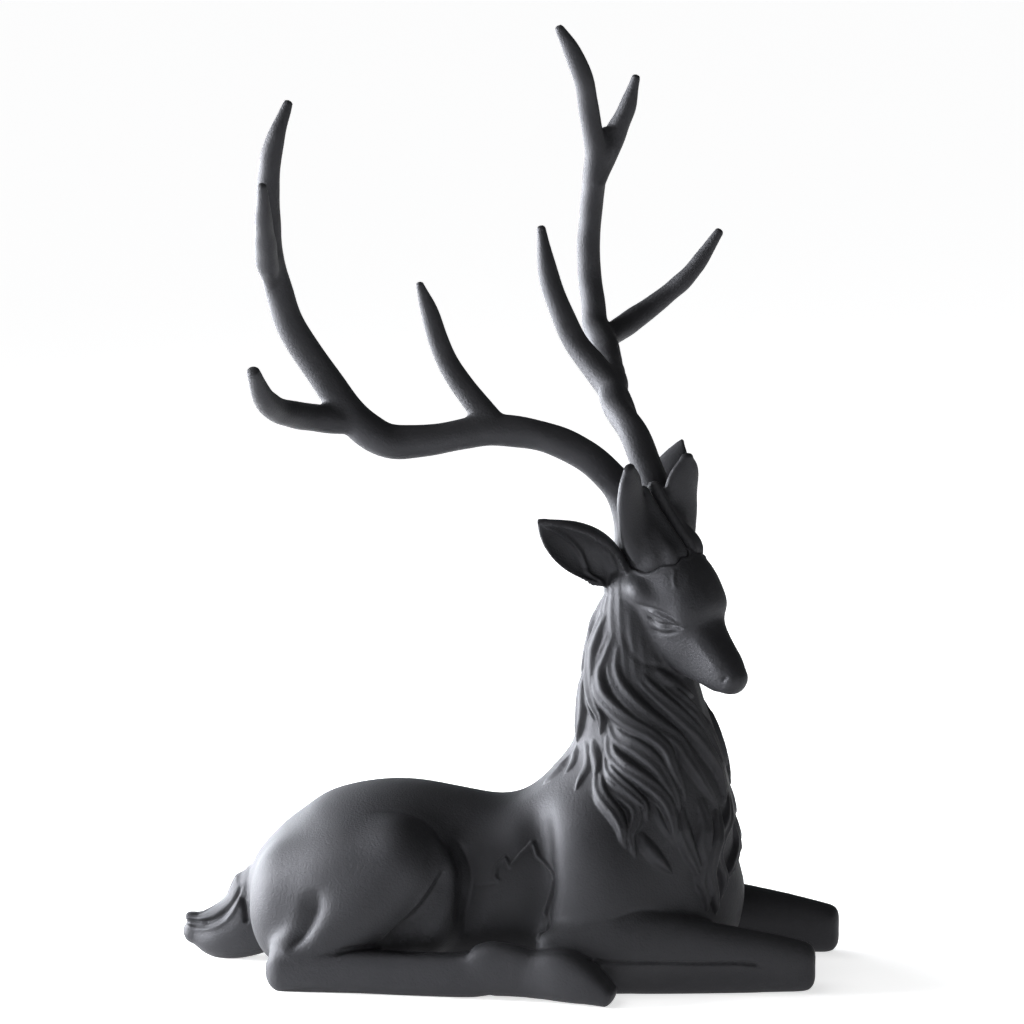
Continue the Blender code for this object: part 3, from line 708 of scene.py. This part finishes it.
# The mane. Each lock is a half width and the photograph's pixels that its middle passes, root to tip.
MANE_LOCKS = [
    (3.6, [(589, 660), (585, 688), (583, 710), (581, 730), (577, 743)]),
    (3.8, [(604, 612), (598, 634), (594, 659), (593, 684), (596, 702), (602, 718), (601, 735)]),
    (3.9, [(611, 632), (604, 655), (600, 672), (604, 693), (615, 709), (632, 724), (650, 735), (665, 750),
           (672, 768), (680, 785), (686, 802)]),
    (4.2, [(615, 642), (613, 667), (621, 688), (638, 709), (657, 726), (676, 741), (688, 760), (701, 781),
           (714, 802), (718, 812)]),
    (3.8, [(638, 672), (646, 684), (663, 701), (680, 718), (695, 735), (706, 752), (716, 770), (722, 790),
           (724, 806)]),
    (3.2, [(662, 680), (680, 699), (693, 714), (703, 731), (710, 748)]),
    (4.4, [(610, 716), (619, 735), (638, 747), (655, 764), (667, 783), (676, 800), (680, 812)]),
    (3.8, [(609, 732), (613, 752), (625, 766), (642, 779), (657, 792), (667, 806), (672, 823), (677, 846)]),
    (3.2, [(607, 750), (611, 768), (621, 783), (634, 796), (644, 806), (647, 821)]),
    (3.4, [(603, 756), (604, 773), (611, 787), (625, 798), (635, 809), (635, 821), (630, 834), (632, 846),
           (635, 858)]),
    (3.5, [(600, 768), (601, 785), (605, 800), (615, 815), (621, 828), (623, 840), (627, 848)]),
    (2.8, [(592, 738), (596, 756), (597, 773), (593, 783)]),
    (2.8, [(584, 740), (588, 752), (587, 766), (581, 778), (575, 792)]),
    (2.6, [(577, 744), (575, 756), (571, 766), (565, 774)]),
    (2.6, [(569, 755), (562, 766), (552, 777), (543, 784)]),
    (3.4, [(680, 806), (682, 827), (688, 848), (695, 865), (701, 880)]),
    (3.6, [(699, 798), (705, 821), (703, 842), (705, 861), (701, 880), (705, 895), (707, 912)]),
    (3.6, [(717, 806), (716, 832), (710, 853), (707, 874), (712, 895), (716, 914)]),
    (3.4, [(728, 788), (728, 815), (720, 836), (716, 857), (723, 878), (720, 900)]),
    (3.2, [(733, 815), (735, 842), (731, 863), (724, 882)]),
    (2.4, [(655, 800), (659, 817), (667, 832), (677, 846)]),
    (3.3, [(601, 596), (593, 618), (587, 642), (583, 664), (581, 684)]),
    (2.8, [(597, 640), (590, 664), (588, 688), (590, 708), (595, 722)]),
    (3.2, [(692, 706), (703, 724), (712, 744), (718, 764), (721, 782)]),
    (3.0, [(655, 668), (668, 680), (681, 690), (694, 697)]),
    (3.1, [(640, 832), (648, 848), (660, 862), (672, 874)]),
]
# A lock wider than the first has two strands, and one narrower than the second lies lower. All are made
# broader than drawn, and of three in a row two stand out further, by steps of that share.
NARROWEST_OF_TWO = 3.15
BROADEST_LOW_LOCK = 3.5
LOCK_BREADTH = 1.14
LOCK_STEP = 0.2


def head_share(skin):
    """1 on the face and skull, 0 on the neck: how far inside the skull's swollen oval a point lies."""
    forward, left, up = told(HEAD, skin.points).T
    rows = np.array(SKULL, float)
    middle, wide, deep = [np.interp(forward, rows[:, 0], rows[:, k]) for k in (2, 3, 4)]
    oval = np.sqrt((left / (wide + 2.6)) ** 2 + ((up - middle) / (deep + 2.0)) ** 2)
    inside = np.clip((1.12 - oval) / 0.12, 0, 1)
    return inside * np.clip((forward + 6) / 6, 0, 1) * (forward < 75)


def combed_base(skin):
    """Fine wavy flutes down the whole neck and breast, under the locks.

    The height is a cosine of the angle round the neck, bent by slow sines of the height above the ground.
    """
    x, y, z = skin.points.T
    turn = np.arctan2(y + 1, x - 48)
    phase = 24 * turn + 0.10 * z + 1.6 * np.sin(0.075 * z + 2.2 * turn) + 0.9 * np.sin(0.031 * z - 4 * turn)
    ahead = np.cos(turn)
    lowest = 92 - 46 * np.clip(ahead, 0, 1) ** 1.5
    share = np.clip((z - lowest) / 14, 0, 1) * (x > 18) * (z < 175)
    return 0.32 * share * (0.5 + 0.5 * np.cos(phase)) ** 1.5


def mane_relief(skin, tree, sizes):
    """The height of the mane over the bare skin: the highest of its locks at each point.

    A lock's profile is (1 - s squared)^0.65, with s the distance over its half width, which runs out to a
    point as a sine to the power 0.7. It rises over the first 0.3 of its length and sinks over the last 0.22.
    Cosine flutes part its strands. Locks next to each other in the list differ in height, so they overlap.
    """
    rise = combed_base(skin)
    tall, flute = sizes.lock_rise / MM, sizes.strand_depth / MM
    for number, (half, pixels) in enumerate(MANE_LOCKS):
        near = traced(pixels, tree)
        for path in (near, mirrored(near, tree, over_the_spine)):
            index, along, far, side = near_path(skin, path, 1.25 * LOCK_BREADTH * half)
            width = LOCK_BREADTH * half * np.sin(math.pi * (0.16 + 0.84 * along)) ** 0.7 + 0.12
            s = far / width
            height = tall * np.clip(along / 0.3, 0, 1) ** 0.8 * (1 + LOCK_STEP * (number % 3))
            height *= np.clip(half / BROADEST_LOW_LOCK, 0, 1) ** 4
            height *= np.clip((1 - along) / 0.22, 0, 1) ** 0.45
            lock = height * np.clip(1 - s**2, 0, 1) ** 0.65
            count = 2 if half > NARROWEST_OF_TWO else 1
            strands = 0.5 + 0.5 * np.cos(math.pi * count * (1 + side * s + 0.12 * np.sin(7 * along)))
            lock -= flute * strands * (s < 1) * np.clip(along / 0.1, 0, 1)
            rise[index] = np.maximum(rise[index], lock)
    return rise * (1 - head_share(skin))


# Lines carved in the skin: the photograph's pixels, height, width, and the share over which an end fades.
FACE_LINES = {
    "eye slit": ([(645, 617), (653, 623), (664, 626.5), (676, 628), (684, 630)], -1.4, 0.8, 0.12),
    "upper lid": ([(645, 611), (653, 613.5), (662, 618), (672, 622), (681, 627)], 0.9, 0.9, 0.25),
    "lower lid": ([(645, 624), (651, 631), (661, 634.5), (674, 633.5), (682, 631)], -0.7, 0.9, 0.3),
    "brow crease": ([(630, 599), (640, 606), (651, 609.5), (663, 614), (675, 621), (684, 627)],
                    -0.9, 1.2, 0.25),
    "nostril": ([(722, 683), (724, 679), (729, 678)], -0.9, 0.6, 0.3),
    "jaw": ([(621, 623), (625, 638), (632, 653), (642, 663), (661, 667), (680, 678), (691, 686)],
            -0.5, 1.2, 0.2),
    "muzzle ridge": ([(690, 638), (703, 652), (715, 668), (723, 678)], 0.35, 1.6, 0.3),
}
NEAR_FACE_LINES = {
    "ear ridge": ([(541, 523), (557, 530.5), (570, 540), (579.5, 551), (585, 564.5), (591, 576)],
                  1.2, 1.0, 0.15),
    "upper ear fold": ([(582, 568), (592, 576), (605, 584)], 0.8, 0.7, 0.25),
    "lower ear fold": ([(580, 576), (590, 582), (603, 589)], 0.8, 0.7, 0.25),
    "forehead ridge": ([(675, 567), (673.5, 579), (677, 592)], 0.4, 0.55, 0.2),
    "faint ridge": ([(688, 572), (687.5, 587)], 0.2, 0.55, 0.2),
}
# Hollows and bumps of the face: the photograph's pixel, radii in the head's own directions and height.
FACE_SWELLS = {
    "eye socket": ((660, 627.5), (9, 6, 5.6), -2.2),
    "eyeball": ((660, 627.5), (5.2, 6, 3.1), 2.2),
    "brow": ((637, 590), (6, 6, 4.6), 2.2),
}
LOBE_EDGE = [(447, 836), (459, 842), (468, 856), (472, 876), (470, 898), (465, 925), (463, 941)]
FLANK_LINES = {
    "thigh top": ([(362, 812), (385, 810.5), (405, 813), (423, 820), (437, 832), (445, 847), (447, 862)],
                  -0.6, 1.6, 0.3),
    "buttock hollow": ([(313, 884), (314, 897), (310, 912), (302, 928), (292, 942), (283, 953)],
                       -3.2, 4.6, 0.35),
    "buttock crease": ([(313, 888), (315.5, 897), (313, 912), (304, 929), (294, 944), (285, 955)],
                       -1.0, 1.7, 0.3),
    "elbow valley": ([(530, 796), (536, 825), (539, 855), (540, 885), (540, 915), (541, 946)],
                     -5.5, 7.0, 0.4),
    "elbow groove": ([(543, 850), (546, 870), (546, 890), (544, 915), (543, 940)], -1.0, 2.3, 0.3),
    "valley before the thigh": (LOBE_EDGE, -2.8, 5.0, 0.3),
    "crease before the thigh": (LOBE_EDGE, -0.8, 1.0, 0.25),
    "cannon crease": ([(330, 958), (350, 950), (377, 946)], -0.8, 1.0, 0.3),
    "forearm slit": ([(585, 960), (600, 962), (640, 963), (690, 964), (740, 963.5), (767, 967)],
                     -1.3, 0.6, 0.08),
    "forearm top": ([(560, 934), (588, 926.5), (613, 919), (639, 911), (660, 911), (688, 913)],
                    -0.6, 1.2, 0.3),
}
TAIL_LINES = {
    "lip": ([(184, 924), (195, 929), (210, 929), (225, 922), (235, 909), (242, 894)], 0.8, 0.8, 0.12),
    "fold": ([(187, 919), (200, 922), (213, 920), (226, 911), (236, 897), (242, 884)], -1.2, 0.8, 0.12),
    "hair": ([(190, 914), (203, 912), (216, 904), (228, 891), (238, 876)], -0.6, 0.7, 0.12),
    "gap": ([(242, 896), (245, 909), (247, 924)], -1.6, 1.0, 0.12),
}
THIGH_FRONT = [(447, 860), (440, 874), (425, 899), (406, 920), (384, 938), (377, 945)]
THIGH_STEP = -2.8
THIGH_STEP_BREADTH = 8
CRACK = [(501, 883), (495, 877), (496, 867), (505, 857), (510, 867), (526, 845), (528.5, 840), (532, 855),
         (543, 872), (545.5, 879), (543, 892), (540, 915), (538, 944)]
CRACK_FAINT = [(473, 885), (485, 886), (497, 883)]


def carve_lines(skin, rise, tree, lines, mirror=None):
    """Carves each line where the photograph shows it and, with a mirror, on the other side too."""
    for pixels, height, width, ends in lines.values():
        near = traced(pixels, tree)
        line_relief(skin, rise, near, height, width, ends)
        if mirror is not None:
            line_relief(skin, rise, mirrored(near, tree, mirror), height, width, ends)


def face_relief(skin, tree, rise):
    """Eyes, lids, brows, nostrils, muzzle and jaw on both sides, and the near ear and the forehead."""
    carve_lines(skin, rise, tree, FACE_LINES, over_the_face)
    carve_lines(skin, rise, tree, NEAR_FACE_LINES)
    for pixel, radii, height in FACE_SWELLS.values():
        near = ground_to([pixel], tree)
        for centre in (near[0], mirrored(near, tree, over_the_face)[0]):
            dimple(skin, rise, centre, radii, HEAD, height)


def flank_relief(skin, tree, rise):
    """Creases of thigh, buttock, elbow and legs on both sides, the tail's hair and the crack."""
    carve_lines(skin, rise, tree, FLANK_LINES, over_the_spine)
    near = traced(THIGH_FRONT, tree)
    for path, hand in ((near, 1), (mirrored(near, tree, over_the_spine), -1)):
        step_relief(skin, rise, path, THIGH_STEP, THIGH_STEP_BREADTH, hand)
    carve_lines(skin, rise, tree, TAIL_LINES)
    crack = ground_to(CRACK, tree)
    line_relief(skin, rise, crack, -0.4, 1.3, 0.05)
    line_relief(skin, rise, crack, 1.7, 0.55, 0.03)
    line_relief(skin, rise, ground_to(CRACK_FAINT, tree), -0.6, 0.5, 0.2)


# The hem round the antlers' feet, how near it lies to them, and how far round the crown it is looked for.
HEM_HEIGHT = 0.6
HEM_GAP = 1
HEM_BREADTH = 0.7
HEM_REACH = 6.0
CROWN_REACH = 26


def hem_relief(skin, antlers, rise):
    """A low hem round the antlers' feet: its height times exp(-((gap - HEM_GAP) / HEM_BREADTH) squared)."""
    low, high = CROWN[:3, 3] - CROWN_REACH, CROWN[:3, 3] + CROWN_REACH
    near = np.flatnonzero(np.all((skin.points > low) & (skin.points < high), axis=1))
    for antler in antlers:
        points, faces = surface_of(antler)
        tree = BVHTree.FromPolygons(points.tolist(), faces)
        gap = [tree.find_nearest(Vector(place), HEM_REACH)[3] or HEM_REACH for place in skin.points[near]]
        rise[near] += HEM_HEIGHT * np.exp(-((np.array(gap) - HEM_GAP) / HEM_BREADTH) ** 2)


def grown(item, amount):
    """An object's mesh with every point moved out along its normal."""
    points, faces = surface_of(item)
    normals = np.empty(len(points) * 3, np.float32)
    item.data.vertex_normals.foreach_get("vector", normals)
    return points + normals.reshape(-1, 3) * amount, faces


def as_form(skin):
    return skin.points, skin.quads.tolist()


# Stages in which forms run softly into each other: edge of the cells that fuse them, rounds of filling
# creases, rounds of softening, and how far the skin is swollen afterwards.
STAGES = {
    "trunk": (1.9, 50, 22, 0.3),
    "quarters": (1.4, 0, 10, 0.2),
    "head": (1.0, 12, 14, 0.15),
}
THIGH_CELL = 1.6
THIGH_FILLING = 110
THIGH_SOFTENING = 34


def softened(stage, forms):
    """The forms of one stage as a soft skin."""
    cell, filling, softening, swelling = STAGES[stage]
    skin = fused("soft_" + stage, forms, cell * MM)
    skin.fill_creases(filling)
    skin.soften(softening)
    skin.push(np.full(len(skin.points), swelling))
    return skin


def blend_thighs(skin):
    """Fills and softens the skin between rump and thigh, most where it is high and far back.

    Both weights rise from 24 mm over the ground to 38 mm. The filling grows from x = -44 mm to x = -60 mm,
    and the softening from 0.15 at x = -14 mm to 1 at x = -26 mm.
    """
    x, _, z = skin.points.T
    high = np.clip((z - 24) / 14, 0, 1)
    skin.fill_creases(THIGH_FILLING, high * np.clip((-44 - x) / 16, 0, 1))
    skin.relax(THIGH_SOFTENING, 0.15 + 0.85 * high * np.clip((-14 - x) / 12, 0, 1), swell=0)


def body_skin(sizes, antlers):
    """The body as one carved skin.

    The trunk is fused and softened first. Thighs, then the flank's folds and the forelegs, are fused to it,
    and the head is softened by itself. All are then fused finely with the crisper feet, ears and tail, and
    the carving is pushed out of or into that skin.
    """
    forms = [as_form(softened("trunk", trunk_forms()))]
    for side in (-1, 1):
        forms += [limb(sided(THIGH, side)), limb(sided(SHANK, side))]
    thighs = fused("soft_thighs", forms, THIGH_CELL * MM)
    blend_thighs(thighs)
    forms = [as_form(thighs)] + [sided_egg(FLANK_FOLD, side) for side in (-1, 1)]
    for leg in FORE_LEGS:
        forms += fore_leg_forms(*leg)
    forms = [as_form(softened("quarters", forms)), as_form(softened("head", head_forms()))]
    forms += tail_forms() + [ear_form(*ear) for ear in EARS] + hind_foot_forms(-1) + hind_foot_forms(1)
    skin = fused("fine_body", forms, sizes.body_grain * (1))
    skin.soften(3)
    skin.relax(4)
    tree = BVHTree.FromPolygons(skin.points.tolist(), skin.quads.tolist())
    rise = mane_relief(skin, tree, sizes)
    face_relief(skin, tree, rise)
    flank_relief(skin, tree, rise)
    hem_relief(skin, antlers, rise)
    skin.push(rise)
    skin.relax(1)
    return skin


def cut(item, name, points, faces):
    """Takes a closed form out of an object, with the solver for closed meshes."""
    tool = new_object(name, points, faces)
    boolean = item.modifiers.new("cut", "BOOLEAN")
    boolean.operation = "DIFFERENCE"
    boolean.solver = "MANIFOLD"
    boolean.object = tool
    freeze(item)
    bpy.data.objects.remove(tool)


def freeze(item):
    """Works an object's modifiers into its mesh."""
    mesh = finished_mesh(item)
    item.modifiers.clear()
    old = item.data
    item.data = mesh
    bpy.data.meshes.remove(old)


def thin_out(item, most):
    """Collapses the flatter stretches until the mesh has at most that many triangles."""
    count = sum(len(face.vertices) - 2 for face in item.data.polygons)
    if count > most:
        decimate = item.modifiers.new("thin out", "DECIMATE")
        decimate.ratio = most / count
        decimate.use_collapse_triangulate = True
        freeze(item)


def block(point, outward, size):
    """A box's points and faces: its one face passes through the point, and it lies on the outward side."""
    outward = unit(np.asarray(outward, float))
    side = unit(np.cross(outward, (0.3, 0.5, 0.8)))
    other = np.cross(outward, side)
    corners = [
        np.asarray(point) + size * (a * side + b * other + c * outward)
        for c in (0, 1) for a, b in ((-0.5, -0.5), (0.5, -0.5), (0.5, 0.5), (-0.5, 0.5))
    ]
    faces = [[3, 2, 1, 0], [4, 5, 6, 7], [0, 1, 5, 4], [1, 2, 6, 5], [2, 3, 7, 6], [3, 0, 4, 7]]
    return np.array(corners), faces


IRON_NAME = "satin_black_cast_iron"
IRON_METALLIC = 0.7
CLOUD_SIZE = 0.045
GRAIN_DEPTH = 0.00022


def black_iron(context):
    """Satin black over a fine casting grain.

    Slow noise on Object coordinates varies the colour and the roughness, and fine noise raises the grain.
    """
    look = context.scene.iron_finish
    material = bpy.data.materials.new(IRON_NAME)
    material.use_nodes = True
    nodes, links = material.node_tree.nodes, material.node_tree.links
    shader = nodes["Principled BSDF"]
    shader.inputs["Metallic"].default_value = IRON_METALLIC
    shader.inputs["Specular IOR Level"].default_value = 0.5
    place = nodes.new("ShaderNodeTexCoord")

    def noise(size, detail, rough=0.5):
        node = nodes.new("ShaderNodeTexNoise")
        node.inputs["Scale"].default_value = 1 / size
        node.inputs["Detail"].default_value = detail
        node.inputs["Roughness"].default_value = rough
        links.new(place.outputs["Object"], node.inputs["Vector"])
        return node.outputs["Fac"]

    def ranged(value, low, high, start, end):
        node = nodes.new("ShaderNodeMapRange")
        for name, number in (("From Min", low), ("From Max", high), ("To Min", start), ("To Max", end)):
            node.inputs[name].default_value = number
        links.new(value, node.inputs["Value"])
        return node.outputs["Result"]

    cloud = noise(CLOUD_SIZE, 3)
    fine = noise(look.grain_size, 2, 0.7)
    mix = nodes.new("ShaderNodeMix")
    mix.data_type = "RGBA"
    mix.inputs["A"].default_value = (*look.colour, 1)
    mix.inputs["B"].default_value = (*look.worn_colour, 1)
    links.new(ranged(cloud, 0.35, 0.75, 0, 1), mix.inputs["Factor"])
    links.new(mix.outputs["Result"], shader.inputs["Base Color"])
    rough = ranged(cloud, 0.3, 0.7, look.roughness - 0.05, look.roughness + 0.06)
    links.new(rough, shader.inputs["Roughness"])
    grain = nodes.new("ShaderNodeBump")
    grain.inputs["Strength"].default_value = 1
    grain.inputs["Distance"].default_value = GRAIN_DEPTH
    links.new(fine, grain.inputs["Height"])
    links.new(grain.outputs["Normal"], shader.inputs["Normal"])
    return material


def dress(item, context, *nodes):
    """Shades a finished piece, gives it the iron and puts it in the place of CAD nodes."""
    item.data.shade_smooth()
    item.data.materials.clear()
    item.data.materials.append(bpy.data.materials.get(IRON_NAME) or black_iron(context))
    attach(item, "root")
    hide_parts(*nodes)


ANTLER_NAMES = ("cast_antler_right", "cast_antler_left")
MOST_TRIANGLES = 190000
# Edges of the blocks that cut away what is under the floor and past the crown's middle.
UNDERGROUND = 600
PAST_MIDDLE = 400
# An antler's rounds of filling creases and of evening out, and the height of its unevenness.
ANTLER_FILLING = 45
ANTLER_EVENING = 4
ANTLER_UNEVENNESS = 0.35


class STAG_OT_cast_body(bpy.types.Operator):
    """Build the stag's body with its mane, face and ears"""

    bl_idname = "stag.cast_body"
    bl_label = "Cast the body"

    def execute(self, context):
        sizes = context.scene.stag_sizes
        antlers = [bpy.data.objects[name] for name in ANTLER_NAMES]
        skin = body_skin(sizes, antlers)
        body = new_object("cast_body", skin.points, skin.quads)
        cut(body, "below_floor", *block((0, 0, 0), (0, 0, -1), UNDERGROUND))
        for antler in antlers:
            cut(body, "seat", *grown(antler, sizes.socket_gap / MM))
        thin_out(body, MOST_TRIANGLES)
        dress(body, context, "stag_body")
        return {"FINISHED"}


class STAG_OT_cast_antlers(bpy.types.Operator):
    """Build the two antlers"""

    bl_idname = "stag.cast_antlers"
    bl_label = "Cast the antlers"

    def execute(self, context):
        sizes = context.scene.stag_sizes
        gap = sizes.socket_gap / MM
        for name, side, branches in (("right", -1, RIGHT_ANTLER), ("left", 1, LEFT_ANTLER)):
            skin = fused("antler", antler_forms(side, branches), sizes.antler_grain)
            skin.fill_creases(ANTLER_FILLING)
            skin.relax(ANTLER_EVENING)
            skin.work_by_hand(ANTLER_UNEVENNESS)
            antler = new_object("cast_antler_" + name, skin.points, skin.quads)
            inward = CROWN[:3, :3] @ (0, -side, 0)
            cut(antler, "past_middle", *block(CROWN[:3, 3] - inward * gap / 2, inward, PAST_MIDDLE))
            dress(antler, context, "antler_" + name)
        return {"FINISHED"}


def studio_air(look):
    """The air round the statue: dim as a light, and white where the camera sees past the floor."""
    world = bpy.data.worlds.new("studio_air")
    world.use_nodes = True
    nodes, links = world.node_tree.nodes, world.node_tree.links
    dim = nodes["Background"]
    dim.inputs["Color"].default_value = (0.95, 0.97, 1, 1)
    dim.inputs["Strength"].default_value = look.air_light
    white = nodes.new("ShaderNodeBackground")
    white.inputs["Color"].default_value = (1, 1, 1, 1)
    path = nodes.new("ShaderNodeLightPath")
    mix = nodes.new("ShaderNodeMixShader")
    links.new(path.outputs["Is Camera Ray"], mix.inputs[0])
    links.new(dim.outputs["Background"], mix.inputs[1])
    links.new(white.outputs["Background"], mix.inputs[2])
    links.new(mix.outputs["Shader"], nodes["World Output"].inputs["Surface"])
    return world


# Half the floor's edge in drawn millimetres. The sky is a sun this wide in degrees, shining this way.
FLOOR_REACH = 2e5
SKY_WIDTH = 50
SKY_WAY = (0.55, 0.1, -0.85)


def pale_floor(look):
    """A wide floor that glows a little, so that it is nearly white with soft shadows."""
    corners = np.array([(-1, -1, 0), (1, -1, 0), (1, 1, 0), (-1, 1, 0)]) * FLOOR_REACH
    floor = new_object("floor", corners, [[0, 1, 2, 3]])
    paint = bpy.data.materials.new("pale_floor")
    paint.use_nodes = True
    shader = paint.node_tree.nodes["Principled BSDF"]
    shader.inputs["Base Color"].default_value = (*look.floor_colour, 1)
    shader.inputs["Roughness"].default_value = 0.9
    shader.inputs["Emission Color"].default_value = (1, 1, 1, 1)
    shader.inputs["Emission Strength"].default_value = look.floor_glow
    floor.data.materials.append(paint)


def looking(name, data, place, way):
    """A lamp or camera at a place, looking along a direction."""
    item = bpy.data.objects.new(name, data)
    item.location = place
    item.rotation_euler = Vector(way).to_track_quat("-Z", "Y").to_euler()
    bpy.context.scene.collection.objects.link(item)
    return item


class STAG_OT_set_studio(bpy.types.Operator):
    """Build the pale floor, the lights and the camera"""

    bl_idname = "stag.set_studio"
    bl_label = "Set up the studio"

    def execute(self, context):
        look = context.scene.studio_look
        pale_floor(look)
        context.scene.world = studio_air(look)
        for name, place, aim, size, colour, power in (
            ("key", (-1.15, 0.05, 0.25), (0, 0, 0.06), (0.9, 0.5), (0.95, 0.97, 1), look.key_power),
            ("rim", (-0.8, 0.75, 0.2), (0, 0, 0.08), (0.7, 0.4), (0.9, 0.94, 1), look.rim_power),
            ("front", (-0.25, -1.6, 1.0), (0, 0, 0.1), (1.5, 0.8), (1, 1, 1), look.front_power),
        ):
            lamp = bpy.data.lights.new(name, "AREA")
            lamp.shape = "RECTANGLE"
            lamp.size, lamp.size_y = size
            lamp.color = colour
            lamp.energy = power
            looking(name, lamp, place, Vector(aim) - Vector(place))
        sun = bpy.data.lights.new("sky", "SUN")
        sun.angle = math.radians(SKY_WIDTH)
        sun.energy = look.sky_strength
        looking("sky", sun, (0, 0, 0), SKY_WAY)
        lens = bpy.data.cameras.new("camera")
        lens.lens = CAMERA_LENS
        lens.sensor_width = CAMERA_SENSOR
        context.scene.camera = looking("camera", lens, Vector(CAMERA_PLACE) * MM, -CAMERA_BACK)
        context.scene.view_settings.view_transform = "Standard"
        return {"FINISHED"}


class STAG_PT_sidebar(bpy.types.Panel):
    """Lists the statue's steps and sizes"""

    bl_label = "Cast iron stag"
    bl_idname = "STAG_PT_sidebar"
    bl_space_type = "VIEW_3D"
    bl_region_type = "UI"
    bl_category = "Stag"

    def draw(self, context):
        layout = self.layout
        for step in STEPS:
            layout.operator(step.bl_idname)
        for group in (context.scene.stag_sizes, context.scene.iron_finish, context.scene.studio_look):
            for name in group.__annotations__:
                layout.prop(group, name)


GROUPS = {"stag_sizes": StagSizes, "iron_finish": IronFinish, "studio_look": StudioLook}
STEPS = (STAG_OT_set_studio, STAG_OT_cast_antlers, STAG_OT_cast_body)


def register():
    for group in GROUPS.values():
        bpy.utils.register_class(group)
    for name, group in GROUPS.items():
        setattr(bpy.types.Scene, name, PointerProperty(type=group))
    for item in (*STEPS, STAG_PT_sidebar):
        bpy.utils.register_class(item)


def unregister():
    for item in (STAG_PT_sidebar, *STEPS):
        bpy.utils.unregister_class(item)
    for name in GROUPS:
        delattr(bpy.types.Scene, name)
    for group in GROUPS.values():
        bpy.utils.unregister_class(group)


def main():
    register()
    bpy.ops.stag.set_studio()
    bpy.ops.stag.cast_antlers()
    bpy.ops.stag.cast_body()


if __name__ == "__main__":
    main()
